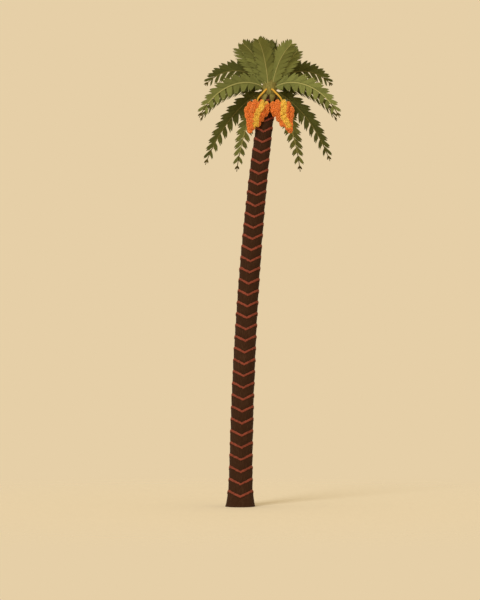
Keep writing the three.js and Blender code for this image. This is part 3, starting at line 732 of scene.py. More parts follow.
def make_splinters(trunk):
    """Short loose fibres that stand out from the edges of the scars."""
    random = np.random.default_rng(SEEDS["splinters"])
    shape = Shape()
    for course in range(COURSES):
        azimuth = random.uniform(0, 360, trunk.splinters)
        rise, _ = scar_rise(azimuth)
        way = random.choice((-1.0, 1.0), trunk.splinters)
        z = scar_height(course) + scar_depth(course) * rise + way * LIP_HEIGHT * SPLINTER_EDGE
        root = around(z, SPLINTER_ROOT, azimuth)
        length = random.uniform(*SPLINTER_LENGTHS, trunk.splinters)
        lean = length * random.uniform(*SPLINTER_LEANS, trunk.splinters)
        twist = random.normal(0, SPLINTER_TWIST, trunk.splinters)
        tip = around(z + way * length, SPLINTER_ROOT + lean, azimuth + twist)
        out, left = facing(np.radians(azimuth))
        left = left * (way * SPLINTER_HALF)[:, None]
        corners = np.stack((root + left, root - left, root + out * SPLINTER_THICK, tip), axis=1)
        base = 4 * np.arange(trunk.splinters)[:, None]
        faces = [base + corner for corner in ((0, 1, 3), (1, 2, 3), (2, 0, 3), (0, 2, 1))]
        shape.add(corners, np.vstack(faces), 0)
    shape.piece("trunk_fibre_splinters", ["trunk"], (bark_finish(trunk),), flat=True)


def profile_radius(profile, heights):
    """What a profile, or another list of pairs, gives at heights."""
    ups, radii = zip(*profile)
    return np.interp(heights, ups, radii)


def bark_room(z):
    """How far the lips and the old leaf bases reach from the trunk's axis."""
    ups, prouds = zip(*BASE_PROFILE)
    bases = np.interp(z - TRUNK_TOP, ups, np.array(prouds) + CLEAR_OF_BARK, left=0, right=0)
    return trunk_radius(z) + LIP_PROUD + bases


BASE_COLUMNS = 27
BASE_ROWS = 34
BASE_KEEL = 1.05  # how thick a base is in its middle, beside its profile
BASE_SLOPES = 0.25  # how much thinner it gets evenly towards its edges
BASE_EDGES = 0.7  # and how much just at them
BASE_RELIEF = 0.0016
BASE_FIBRE_FROM = 0.86  # past this share of its half width it is brown fibre
BASE_TONE = 0
FIBRE_TONE = 1


def make_leaf_bases(trunk):
    """Old leaf bases that clasp the top of the bark, each a keeled shield with brown fibre at its edges."""
    random = np.random.default_rng(SEEDS["leaf_bases"])
    across = np.sin(np.linspace(-1, 1, BASE_COLUMNS) * math.pi / 2)
    keeled = BASE_KEEL - BASE_SLOPES * np.abs(across) - BASE_EDGES * across ** 6
    fibre = np.concatenate((np.abs(across) > BASE_FIBRE_FROM, np.ones(BASE_COLUMNS, bool)))
    tones = np.where(fibre, FIBRE_TONE, BASE_TONE)[None]
    shape = Shape()
    for azimuth in BASES:
        out, side = facing(math.radians(azimuth))
        ridges = random.normal(0, 1, BASE_COLUMNS)
        rings = []
        for up in np.linspace(BASE_OUTLINE[0][0], BASE_OUTLINE[-1][0], BASE_ROWS):
            ridges = next_ridges(ridges, random)
            z = TRUNK_TOP + up
            aside = across * profile_radius(BASE_OUTLINE, up)
            swell = profile_radius(BASE_PROFILE, up) * keeled
            outer = trunk_radius(z) + LIP_PROUD + CLEAR_OF_BARK + swell + BASE_RELIEF * ridges
            inner = np.full(BASE_COLUMNS, trunk_radius(z) + LIP_PROUD / 3)
            middle = axis_at(z) + side * aside[:, None]
            face, back = (middle + out * np.sqrt(radius ** 2 - aside ** 2)[:, None]
                          for radius in (outer, inner))
            rings.append(np.vstack((face, back[::-1])))
        shape.solid(rings, tones, (FIBRE_TONE, BASE_TONE))
    shape.piece("old_leaf_bases", [f"leaf_base_{k + 1}" for k in range(len(BASES))],
                (heart_finish(trunk), fibre_finish(trunk)))


HEART_COLUMNS = 120
HEART_ROWS = 34
HEART_BASES = 13  # leaf bases side by side round it
HEART_TWIST = 5  # radians of their wave by which they wind round on the way up
HEART_RIDGE = (0.06, 0.05)  # share of the radius that a base rises, and by which all of it is lowered
HEART_RELIEF = 0.0025


def make_heart(trunk):
    """Young leaf bases swelling over the bark, each a ridge that winds upwards."""
    random = np.random.default_rng(SEEDS["heart"])
    angle = turns(HEART_COLUMNS)
    ridges = uneven_row(random, 1, HEART_COLUMNS)
    rings = []
    for share in np.linspace(0, 1, HEART_ROWS):
        up = HEART_PROFILE[-1][0] * share
        ridges = next_ridges(ridges, random, change=0.3)
        wave = np.abs(np.sin(HEART_BASES / 2 * angle + HEART_TWIST * share))
        bases = wave * HEART_RIDGE[0] - HEART_RIDGE[1]
        radius = profile_radius(HEART_PROFILE, up) * (1 + bases) + HEART_RELIEF * ridges
        rings.append(axis_at(TRUNK_TOP + up) + level(radius, angle))
    shape = Shape()
    shape.solid(rings)
    shape.piece("heart_leaf_bases", ["heart"], (heart_finish(trunk),))


SPEAR_COLUMNS = 48
SPEAR_ROWS = 40
SPEAR_PLEATS = 12
SPEAR_TWIST = 2.2  # radians of their wave by which they wind round on the way up
SPEAR_PLEAT = (0.16, 0.14)  # share of the radius that a pleat rises, and by which all of it is lowered
SPEAR_GREEN = 0.4  # how far its colour is from the leaflets' to the ribs'
SPEAR_LEAFLETS = 22  # loose ones
SPEAR_LOOSE = (0.4, 0.75)  # how far up the spear they leave it, in metres
SPEAR_SPLAY = (4, 15)  # degrees that they stand off it
SPEAR_REACH = (0.75, 0.98)  # how far they reach towards the height of its top
SPEAR_LEAFLET_WIDTH = 0.017  # half width
SPEAR_LEAFLET_FOLD = 0.3  # how proud their fold is beside the half width


def add_leaflet(shape, corners, tones):
    """Add a thin closed leaflet from four lines of corners: an edge, its fold, an edge and its keel."""
    shape.grid(corners[:, :3], tones)
    shape.grid(corners[:, (2, 3, 0)], tones)


def add_loose_leaflets(shape, foot, top, random):
    """Add the spear's outer leaflets, which have begun to come away from it."""
    for number in range(SPEAR_LEAFLETS):
        out, side = facing(golden_turns(number))
        start = foot + random.uniform(*SPEAR_LOOSE)
        splay = math.radians(random.uniform(*SPEAR_SPLAY))
        way = out * math.sin(splay) + UP * math.cos(splay)
        length = (top - start) * random.uniform(*SPEAR_REACH)
        line = axis_at(start) + way * length * LEAFLET_STEPS[:, None]
        wide = SPEAR_LEAFLET_WIDTH * LEAFLET_WIDTHS[0][:, None]
        fold = line + out * wide * SPEAR_LEAFLET_FOLD * (LEAFLET_BODY > 0)[:, None]
        keel = line - out * LEAFLET_BODY[:, None]
        add_leaflet(shape, np.stack((line - side * wide, fold, line + side * wide, keel), axis=1), 1)


def make_spear(fronds):
    """The closed young leaf: leaflets folded tight along their rib, the outer ones coming loose."""
    angle = turns(SPEAR_COLUMNS)
    foot = TRUNK_TOP + HEART_PROFILE[-1][0]
    low, high = SPEAR_PROFILE[0][0], SPEAR_PROFILE[-1][0]
    rings = []
    for share in np.linspace(0, 1, SPEAR_ROWS):
        up = lerp(low, high, share)
        wave = np.abs(np.sin(SPEAR_PLEATS / 2 * angle + SPEAR_TWIST * share))
        pleats = 1 + SPEAR_PLEAT[0] * wave - SPEAR_PLEAT[1]
        rings.append(axis_at(foot + up) + level(profile_radius(SPEAR_PROFILE, up) * pleats, angle))
    shape = Shape()
    shape.solid(rings)
    add_loose_leaflets(shape, foot, foot + high, np.random.default_rng(SEEDS["spear"]))
    colour = [lerp(a, b, SPEAR_GREEN) for a, b in zip(fronds.olive, fronds.olive_rib)]
    # the loose leaflets take the darker leaf colour, which is painted shade
    materials = (leaf_finish("spear_leaf", colour), leaf_finish("spear_leaflet", fronds.dark))
    shape.piece("spear_leaf_pleats", ["spear_leaf"], materials)


def fronds_of(tier):
    for number, (azimuth, scale) in enumerate(tier["fronds"], 1):
        name = f"{tier['name']}_frond_{number}"
        yield {**tier, "azimuth": azimuth, "length": tier["length"] * scale, "node": name}


def frond_nodes(tier):
    """Names of the frame's nodes that a tier's pieces stand for."""
    ends = ("_inner", "_outer") if tier["fall"] > SPLIT_BEND else ("",)
    return [frond["node"] + end for frond in fronds_of(tier) for end in ends]


def rib_half(s, k):
    """Half the rib's width, k = 0, or thickness, k = 1."""
    foot = lerp(RIB_FOOT[k], RIB_BLADE[k], s / RIB_END)
    blade = lerp(RIB_BLADE[k], RIB_TIP[k], (s - RIB_END) / (1 - RIB_END))
    return np.where(s < RIB_END, foot, blade)


def frond_frame(frond, s):
    """Along a frond at shares s: its middle, the way it runs, across and up, half width and thickness."""
    s = np.asarray(s, float)
    azimuth = math.radians(frond["azimuth"])
    outward, left = facing(azimuth)
    root = axis_at(TRUNK_TOP + frond["up"]) + frond["out"] * outward

    def heading(share):
        slope = np.radians(frond["launch"] - frond["fall"] * share ** frond["bend"])
        return np.cos(slope)[..., None] * outward + np.sin(slope)[..., None] * UP

    steps = (np.arange(BEND_STEPS) + 0.5) / BEND_STEPS
    middle = root + heading(s[:, None] * steps).mean(axis=1) * (frond["length"] * s)[:, None]
    along = heading(s)
    over = np.cross(along, left)
    roll = (math.radians(-frond["roll"] * math.cos(azimuth)) * smooth(s, 0, ROLL_DONE))[:, None]
    across = over * np.sin(roll) - left * np.cos(roll)
    up = over * np.cos(roll) + left * np.sin(roll)
    half, thick = (frond["girth"] * rib_half(s, k) for k in (0, 1))
    return middle, along, across, up, half, thick


def along_blade(s, frond):
    """How far along the blade shares s of the frond are, more than 1 in its tufts."""
    return (s - BLADE_FROM) / (frond["blade"]["to"] - BLADE_FROM)


def leaflet_length(s, frond, longest):
    """Length of the leaflets at shares s of the frond."""
    blade = frond["blade"]
    t = along_blade(s, frond)
    wave = np.sin(np.pi * lerp(*blade["span"], np.minimum(t, 1)) ** blade["ease"])
    swell = blade["least"] + (1 - blade["least"]) * wave
    close = longest * frond["leafy"] * swell * min(1, SHORT_FROND[0] + frond["length"] / SHORT_FROND[1])
    if not blade["tufts"]:
        return close
    tuft = np.where(s < blade["tufts"][1][0], *TUFT_LENGTHS)
    return np.where(t > 1, tuft, close)


TINY = 1e-9  # keeps a share of nothing from being divided by 0


def blade_groups(frond):
    """Where each group of leaflets starts and ends along a frond."""
    blade = frond["blade"]
    room = (blade["to"] - BLADE_FROM) / frond["groups"]
    groups = []
    for number in range(frond["groups"]):
        start = BLADE_FROM + number * room
        past = (number / (frond["groups"] - 1) - blade["close"]) / (1 - blade["close"] + TINY)
        groups.append((start, start + room * lerp(1, blade["fill"], max(0.0, past))))
    return groups + list(blade["tufts"])


# Along a leaflet: how far, and its half width there beside its widest, on the upper and the lower side
LEAFLET_STEPS = np.array((0.0, 0.12, 0.34, 0.58, 0.8, 0.93, 1.0))
LEAFLET_WIDTHS = np.array(((0.7, 1.0, 1.0, 1.0, 0.8, 0.45, 0.04), (0.4, 0.5, 0.9, 1.0, 0.8, 0.45, 0.04)))
LEAFLET_BODY = 0.003 * np.array((0, 1, 1, 1, 1, 1, 0))  # how far its keel is below its fold
LEAFLET_OVERLAP = 2  # how many times as wide as its own room in the group a leaflet is
LEAST_LEAFLET = 0.015  # half width
LEAFLET_ROOT = 0.8  # how far out on the rib it starts, of the rib's half width
LEAFLET_UNEVEN = 0.03  # share of their length by which some leaflets are shorter
LEAFLET_TILT = 5  # degrees by which they are tilted one way or the other
PAST_SHOULDER = 0.08  # how much further than a group's shoulders its outermost leaflets reach
GATHER = 0.45  # how far the tips of a group are drawn to its two points
OPENS = (0.35, 0.85)  # the stretch of a blade over which its lower leaflets come to stand in bundles
TONE_SHADES = (0.88, 1.0, 1.12)  # tones of leaf in a tier; the dry tips have one more
TONES = len(TONE_SHADES)


def by_side(values, t, lower):
    """A value of the blade, given low and high on its upper side and on its lower one."""
    return lerp(*(lerp(low, high, t) for low, high in values), lower)


def leaflet_sheets(frond, fronds, random):
    """Corners of every leaflet on a frond, and the tone of each."""
    near, far = np.array(list(zip(*blade_groups(frond))))
    blade = frond["blade"]
    count = fronds.leaflets_per_group
    grid = np.meshgrid(np.arange(len(near)), (1.0, -1.0), np.arange(count), indexing="ij")
    group, side, number = (axis.ravel() for axis in grid)
    total = len(group)
    tone = random.integers(0, TONES, (len(near), 2))
    if blade["tufts"]:
        tone[-1] = TONES
    tone = tone.repeat(count)
    middle_share = ((near + far) / 2)[group]
    t = np.clip(along_blade(middle_share, frond), 0, 1)
    _, along, across, up, _, _ = frond_frame(frond, middle_share)
    valley = math.radians(VALLEY)
    out = across * side[:, None] * math.cos(valley) + up * math.sin(valley)
    lower = 1 - smooth(out[:, 2], *LEVEL)

    place = (number + 0.5) / count
    drawn = random.uniform(*blade["bundled"], (len(near), 2)).repeat(count) * lower * smooth(t, *OPENS)
    foot = lerp(place, 0.5, drawn)
    middle, _, own_across, _, half, _ = frond_frame(frond, lerp(near[group], far[group], foot))
    root = middle + own_across * (side * half * LEAFLET_ROOT)[:, None]

    sweep = np.radians(by_side(blade["sweep"], t, lower))[:, None]
    sink = by_side(blade["sink"], t, lower)[:, None]
    way = unit(along * np.cos(sweep) + out * np.sin(sweep) - UP * sink)
    cross = unit(along - way * (along * way).sum(axis=1, keepdims=True))
    stretch = (frond["length"] * (far - near))[group]
    strip = stretch * (along * cross).sum(axis=1)
    length = leaflet_length(middle_share, frond, fronds.leaflet_length) * lerp(*blade["reach"], lower)
    before, after = (frond_frame(frond, shares[group])[1] for shares in (near, far))
    turn = ((after - before) * out).sum(axis=1) / stretch / np.sin(sweep[:, 0])

    off = 2 * place - 1
    ends, sides = zip(*GROUP_END)
    rear, front = (by_side(blade[edge], t, lower) for edge in ("rear", "front"))
    reach = np.array([np.interp(at, (-1, *sides, 1), (a + PAST_SHOULDER, *ends, b + PAST_SHOULDER))
                      for at, a, b in zip(off, rear, front)]) - random.uniform(0, LEAFLET_UNEVEN, total)
    steps = LEAFLET_STEPS[None, :]
    share = by_side(blade["wide"], t, lower)
    point = np.where(off < sides[1], sides[0], sides[2])
    tip = lerp(off, point, GATHER)
    start = foot - 0.5
    track = np.stack([np.interp(LEAFLET_STEPS, (0, bend, 1), places) for bend, places in
                      zip((rear + front) / 2, np.stack((start, off * share, tip * share), axis=1))])
    crowd = turn * np.where(turn > 0, BEND_SPREAD[1], BEND_SPREAD[0])
    spread = 1 - crowd[:, None] * steps * length[:, None]
    aside = strip[:, None] * (track * spread - start[:, None])
    back = (start * stretch * (along * way).sum(axis=1))[:, None] * steps
    forward = (length * reach)[:, None] * steps - back
    sag = fronds.droop * length[:, None] * steps ** 2
    line = (root[:, None] + way[:, None] * forward[..., None] + cross[:, None] * aside[..., None]
            - UP * sag[..., None])
    widest = np.maximum(strip * share / count * LEAFLET_OVERLAP, LEAST_LEAFLET)
    wide = (widest[:, None] * lerp(*LEAFLET_WIDTHS, drawn[:, None]) * spread)[..., None]
    normal = unit(np.cross(way, cross))
    normal = normal * np.sign((normal * up).sum(axis=1, keepdims=True))
    tilt = np.radians(random.normal(0, LEAFLET_TILT, total))[:, None]
    flat = (cross * np.cos(tilt) + normal * np.sin(tilt))[:, None]
    lift = (normal * np.cos(tilt) - cross * np.sin(tilt))[:, None] * fronds.fold
    keel = line - normal[:, None] * LEAFLET_BODY[:, None]
    edges = (line - (flat - lift) * wide, line + (flat + lift) * wide)
    upward = ((np.cross(cross, way) * normal).sum(axis=1) > 0)[:, None, None]
    left, right = np.where(upward, *edges), np.where(upward, *edges[::-1])
    return np.stack((left, line, right, keel), axis=2), tone


def clear_of_tree(corners, lumps):
    """Which leaflets keep out of the trunk, the heart and the bunches."""
    line = corners[:, 1:, 1]
    z = line[..., 2]
    off_axis = np.linalg.norm((line - axis_at(z))[..., :2], axis=-1)
    heart = profile_radius(HEART_PROFILE, z - TRUNK_TOP)
    room = np.where(z < TRUNK_TOP + BASE_PROFILE[-1][0], bark_room(z), heart)
    inside = (off_axis < room) & (z < TRUNK_TOP + HEART_PROFILE[-1][0])
    scale = np.array((1, 1, 1 / LUMP_STRETCH)) / LUMP_RADIUS
    away = np.linalg.norm((line[:, :, None] - lumps) * scale, axis=-1).min(axis=-1)
    return ~(inside | (away < 1)).any(axis=1)


LEAFLET_CUTS = (1, 0.75, 0.5)  # shares of its length to which a leaflet may be cut


def fit_leaflets(corners, lumps):
    """Leaflets, cut short where they would touch the rest of the tree, and which of them are left."""
    feet = corners[:, :1, 1:2]
    fitted = corners.copy()
    clear = np.zeros(len(corners), bool)
    for share in LEAFLET_CUTS:
        cut = lerp(feet, corners, share)
        fits = ~clear & clear_of_tree(cut, lumps)
        fitted[fits] = cut[fits]
        clear |= fits
    return fitted[clear], clear


# Outline of a rib's section, in half widths across and half thicknesses up: grooved above, round below
RIB_SECTION = np.array(((0.75, -0.6), (0.28, -1.0), (-0.28, -1.0), (-0.75, -0.6), (-1.0, 0.25),
                        (-0.78, 0.95), (-0.3, 0.7), (0.3, 0.7), (0.78, 0.95), (1.0, 0.25)))
RIB_STEPS = 44
RIB_CLOSER = 1.15  # how much closer its rings are near the foot
DRY_FROM = 0.82  # past this share of its length a feathered frond's rib is bare and dry
SHEATH = 1.7  # how much wider a petiole is where it clasps the heart
SHEATH_END = 0.1


def rib_rings(frond, shares):
    """Corners of a frond's rib, ring by ring."""
    middle, _, across, up, half, thick = frond_frame(frond, shares)
    clasp = 1 + SHEATH * (1 - smooth(shares, 0, SHEATH_END))
    section = RIB_SECTION[None]
    return (middle[:, None] + across[:, None] * section[..., :1] * (half * clasp)[:, None, None]
            + up[:, None] * section[..., 1:] * thick[:, None, None])


def make_fronds(fronds):
    """Each tier of fronds as one piece of ribs and one of leaflets."""
    lumps = np.concatenate([bunch_lumps(bunch) for bunch in BUNCHES])
    tip = leaf_finish("dry_leaf_tip", fronds.dry_tip)
    for number, tier in enumerate(TIERS):
        random = np.random.default_rng(SEEDS["fronds"] + number)
        # a tier's tone gives its leaf and rib colour; the darker tone is painted shade
        colour, rib_colour = (getattr(fronds, tier["tone"] + end) for end in ("", "_rib"))
        ribs = Shape()
        leaves = Shape()
        shares = np.linspace(0, 1, RIB_STEPS) ** RIB_CLOSER
        dry = (shares[1:] > DRY_FROM) & bool(tier["blade"]["tufts"])
        for frond in fronds_of(tier):
            ribs.solid(rib_rings(frond, shares), dry[:, None], (0, dry[-1]))
            corners, tone = leaflet_sheets(frond, fronds, random)
            fitted, clear = fit_leaflets(corners, lumps)
            for leaflet, own in zip(fitted, tone[clear]):
                tones = np.full((len(LEAFLET_STEPS) - 1, 2), own)
                tones[-1] = TONES
                add_leaflet(leaves, leaflet, tones)
        materials = [leaf_finish(f"{tier['name']}_leaf_{k}", shade(colour, factor))
                     for k, factor in enumerate(TONE_SHADES, 1)]
        nodes = frond_nodes(tier)
        leaves.piece(f"{tier['name']}_leaflets", nodes, [*materials, tip])
        ribs.piece(f"{tier['name']}_ribs", nodes,
                   [rib_finish(f"{tier['name']}_rib", rib_colour), rib_finish("dry_rib", fronds.dry_tip)])


def bunch_point(bunch, v, angle, wide, drop):
    """A point of a bunch: share v down a strand that hangs at an angle and ends drop lower."""
    belly = BUNCH_BELLY * math.sin(math.pi * min(1, 2 * v))
    spread = wide * bunch["spread"] * (1 + belly - BUNCH_NARROWS[0] * v ** BUNCH_NARROWS[1])
    return axis_at(CROWN_HEIGHT) + np.array((
        bunch["at"][0] + bunch["lean"][0] * v + spread * math.cos(angle),
        bunch["at"][1] + bunch["lean"][1] * v + BUNCH_DEEP * spread * math.sin(angle),
        BUNCH_TOP - drop * v - BUNCH_SHOULDER * math.cos(angle) ** 2 * (1 - v)))


def strand_of(bunch, number):
    """The angle at which a strand hangs and how far it drops."""
    angle = 2 * math.pi * (number + 0.5) / bunch["strands"]
    return angle, bunch["drop"] * (1 - BUNCH_UNEVEN * (1 - bunch["long"] * math.cos(angle)))


def bunch_lumps(bunch):
    """Middle of every cluster of dates in a bunch."""
    middles = []
    for strand in range(bunch["strands"]):
        angle, drop = strand_of(bunch, strand)
        last = round(drop / LUMP_PITCH)
        for cluster in range(last + 1):
            middles.append(bunch_point(bunch, cluster / last, angle, 1, drop))
    shares, widths = zip(*BUNCH_CORE)
    for strand in range(bunch["strands"]):
        angle = 2 * math.pi * strand / bunch["strands"]
        for v in np.linspace(CORE_TOP, shares[-1], CORE_CLUSTERS):
            middles.append(bunch_point(bunch, v, angle, np.interp(v, shares, widths), bunch["drop"]))
    return np.array(middles)


def are_yellow(bunch, places):
    """Which places are near the line of a bunch's yellow dates, seen from the front."""
    flat = places[:, ::2] - (LEAN, CROWN_HEIGHT)
    line = np.array(bunch["yellow"])
    away = np.full(len(places), np.inf)
    for start, way in zip(line, np.diff(line, axis=0)):
        share = np.clip((flat - start) @ way / (way @ way), 0, 1)
        away = np.minimum(away, np.linalg.norm(flat - start - share[:, None] * way, axis=1))
    return away < YELLOW_REACH


CORE_CLUSTERS = 4  # clusters between two strands, in the filled middle of a bunch
CORE_TOP = 0.1  # how far down the bunch the first of them is
DATE_SIDES = 7
DATE_RINGS = 4
DATE_BLUNT = 0.8  # how far the first and last rings are from its ends, in steps from ring to ring
CALYX_TONE = 4
PACKED = 0.92  # size of a cluster's packed middle beside the middles of its dates
DATE_SET = 0.75  # how deep a date's middle is set in its cluster, in half widths
DATE_SCATTER = 0.09  # how unevenly the dates stand round a cluster
DATE_CLEAR = 0.8  # dates nearer another cluster's middle than this share of its size are left out
DATE_OFF_BARK = 0.8  # how far a date's middle is from the bark at least, in half widths
DATE_SPLAY = 0.55  # how far a date points outwards beside its hanging
DATE_SWAY = 0.16  # how unevenly the dates hang
DATE_TURN = 0.3  # how far from level the line is that a date's first side is square to
DATE_SIZES = (0.9, 1.08)


def date_shape():
    """Corners and faces of one date of unit half length and width, its calyx end up."""
    points = [(0, 0, 1)]
    for ring in range(DATE_RINGS):
        angle = math.pi * (ring + DATE_BLUNT) / (DATE_RINGS - 1 + 2 * DATE_BLUNT)
        points.extend(level(math.sin(angle), turns(DATE_SIDES)) + math.cos(angle) * UP)
    points.append((0, 0, -1))
    faces = []
    calyx = []
    last = len(points) - 1
    for side in range(DATE_SIDES):
        beside = (side + 1) % DATE_SIDES
        faces.append((0, 1 + side, 1 + beside))
        calyx.append(True)
        for ring in range(DATE_RINGS - 1):
            low, high = 1 + ring * DATE_SIDES, 1 + (ring + 1) * DATE_SIDES
            faces.append((low + side, high + side, high + beside))
            faces.append((low + side, high + beside, low + beside))
            calyx.extend((False, False))
        foot = 1 + (DATE_RINGS - 1) * DATE_SIDES
        faces.append((foot + side, last, foot + beside))
        calyx.append(False)
    return np.array(points, float), np.array(faces), np.array(calyx)


def even_directions(count):
    """Directions spread evenly over a sphere."""
    number = np.arange(count) + 0.5
    z = 1 - 2 * number / count
    return level(np.sqrt(1 - z * z), golden_turns(number)) + z[:, None] * UP


def make_dates(dates):
    """Bunches of dates, packed round the clusters of their strands."""
    skins = (("orange_date_deep", dates.orange, 0.9), ("orange_date", dates.orange, 1.1),
             ("yellow_date_deep", dates.yellow, 0.92), ("yellow_date", dates.yellow, 1.08),
             ("date_calyx", dates.stalk, 0.8))
    materials = [date_finish(name, shade(colour, factor)) for name, colour, factor in skins]
    points, faces, calyx = date_shape()
    half = dates.date_length / 2
    thin = dates.date_width / 2
    for number, bunch in enumerate(BUNCHES):
        random = np.random.default_rng(SEEDS["dates"] + number)
        middles = bunch_lumps(bunch)
        reach = np.array((1, 1, LUMP_STRETCH)) * (LUMP_RADIUS - thin * DATE_SET)
        shape = Shape()
        for index, (middle, pale) in enumerate(zip(middles, are_yellow(bunch, middles))):
            shape.add(middle + points * reach * PACKED, faces, 2 * pale)
            directions = unit(even_directions(dates.dates_per_cluster)
                              + random.normal(0, DATE_SCATTER, (dates.dates_per_cluster, 3)))
            places = middle + directions * reach
            others = np.delete(middles, index, axis=0)
            away = np.linalg.norm((places[:, None] - others) / reach, axis=-1).min(axis=-1)
            off_axis = np.linalg.norm((places - axis_at(places[:, 2]))[:, :2], axis=-1)
            keep = (away > DATE_CLEAR) & (off_axis > bark_room(places[:, 2]) + thin * DATE_OFF_BARK)
            keep &= (places[:, 0] - LEAN) * bunch["long"] >= 0
            yellow = are_yellow(bunch, places)
            for direction, place, tone in zip(directions[keep], places[keep], 2 * yellow[keep]):
                hang = unit(direction * DATE_SPLAY - UP + random.normal(0, DATE_SWAY, 3))
                first = unit(np.cross(hang, (direction[1], -direction[0], DATE_TURN)))
                second = np.cross(first, hang)
                size = random.uniform(*DATE_SIZES)
                turned = (points[:, :1] * first * thin + points[:, 1:2] * second * thin
                          - points[:, 2:] * hang * half) * size
                tone += random.integers(0, 2)
                shape.add(place + turned, faces, np.where(calyx, CALYX_TONE, tone))
        shape.piece(f"dates_{bunch['name']}", [f"date_bunch_{bunch['name']}"], materials)


def curve_through(points, steps):
    """A smooth row of places through points."""
    points = np.asarray(points, float)
    padded = np.vstack((2 * points[0] - points[1], points, 2 * points[-1] - points[-2]))
    places = []
    for value in np.linspace(0, len(points) - 1, steps):
        index = min(int(value), len(points) - 2)
        t = value - index
        a, b, c, d = padded[index:index + 4]
        places.append(0.5 * (2 * b + (c - a) * t + (2 * a - 5 * b + 4 * c - d) * t * t
                             + (3 * b - a - 3 * c + d) * t ** 3))
    return np.array(places)


# Directions that no stalk and no strand runs along: one for a rod that starts level, and one for a steep one
OFF_LEVEL = (0.31, 0.22, 1.0)
OFF_STEEP = (1.0, 0.3, 0.1)
STEEP = 0.8  # a rod starts steep if it rises or falls by more than this share of its length there


def rod(shape, places, radii, sides, grooves=0.0):
    """Add a closed round rod along places."""
    along = unit(np.gradient(places, axis=0))
    first = unit(np.cross(along, OFF_LEVEL if abs(along[0, 2]) < STEEP else OFF_STEEP))
    second = np.cross(along, first)
    angle = turns(sides)
    radius = radii[:, None] * (1 - grooves * (np.arange(sides) % 2))
    rings = (places[:, None] + first[:, None] * (radius * np.cos(angle))[..., None]
             + second[:, None] * (radius * np.sin(angle))[..., None])
    shape.solid(rings)


def stalk_points(bunch):
    """Places that a bunch's stalk runs through, from inside the heart to the bunch's top."""
    angle = math.radians(bunch["stalk"])
    way = np.array((math.cos(angle), math.sin(angle)))
    top = np.array(bunch["at"])
    flat = [way * reach for reach in STALK_REACH]
    flat += [lerp(flat[1], top, share) for share in STALK_BEND]
    return [axis_at(CROWN_HEIGHT) + (*place, height) for place, height in zip(flat, STALK_HEIGHTS)]


STALK_RINGS = 30
STALK_SIDES = 16
STALK_GROOVES = 0.08  # their depth beside the radius
STALK_TAPER = ((0, 1.1), (0.75, 1), (1, 0.8))  # along it, and its radius beside STALK_RADIUS
STRANDS_FROM = -4  # the ring near the stalk's end where its strands part
STRAND_BEND = 0.55  # how far out a strand turns down
STRAND_LIFT = 0.03  # how high it rises there
STRAND_SHARES = (0, 0.25, 0.5, 0.75, 1)
STRAND_RINGS = 16
STRAND_SIDES = 5
STRAND_RADII = (0.009, 0.004)


def make_stalks(dates):
    """Each bunch's stalk with the strands that its dates hang on."""
    material = rib_finish("fruit_stalk", dates.stalk)
    stalk_radii = STALK_RADIUS * profile_radius(STALK_TAPER, np.linspace(0, 1, STALK_RINGS))
    strand_radii = np.linspace(*STRAND_RADII, STRAND_RINGS)
    for bunch in BUNCHES:
        shape = Shape()
        places = curve_through(stalk_points(bunch), STALK_RINGS)
        rod(shape, places, stalk_radii, STALK_SIDES, STALK_GROOVES)
        start = places[STRANDS_FROM]
        for strand in range(bunch["strands"]):
            angle, drop = strand_of(bunch, strand)
            hang = [bunch_point(bunch, v, angle, 1, drop) for v in STRAND_SHARES]
            bend = lerp(start, hang[0], STRAND_BEND) + STRAND_LIFT * UP
            rod(shape, curve_through([start, bend, *hang], STRAND_RINGS), strand_radii, STRAND_SIDES)
        shape.piece(f"fruit_stalk_strands_{bunch['name']}",
                    [f"fruit_stalk_{bunch['name']}"], (material,))


def floor_finish(stage):
    """Plain pale floor that fades out round the tree."""
    finish = Finish("studio_floor", Specular_IOR_Level=0.1, Roughness=0.95)
    finish.set("Base Color", stage.floor)
    coordinates = finish.node("ShaderNodeTexCoord", {}, {})
    flat = finish.node("ShaderNodeVectorMath", {"operation": "LENGTH"}, {0: coordinates.outputs["Object"]})
    share = Value(finish, flat.outputs["Value"]) * (1 / stage.floor_radius)
    finish.set("Alpha", 1 - finish.ramp(share, *FLOOR_FADE))
    return finish.material


SENSOR_HEIGHT = 36  # millimetres
CLIP_END = 500
EYE_ASIDE = -0.006
SUN_WIDTH = 20  # degrees
SUN_COLOUR = (1.0, 0.96, 0.88)
SUN_TURN = (62, 0, -28)  # degrees
FLOOR_SIDES = 96
FLOOR_DROP = 0.002  # the floor is this far under the tree's foot
FLOOR_FADE = (0.2, 1.0)  # shares of its radius between which it fades out


def radians(degrees):
    return [math.radians(value) for value in degrees]


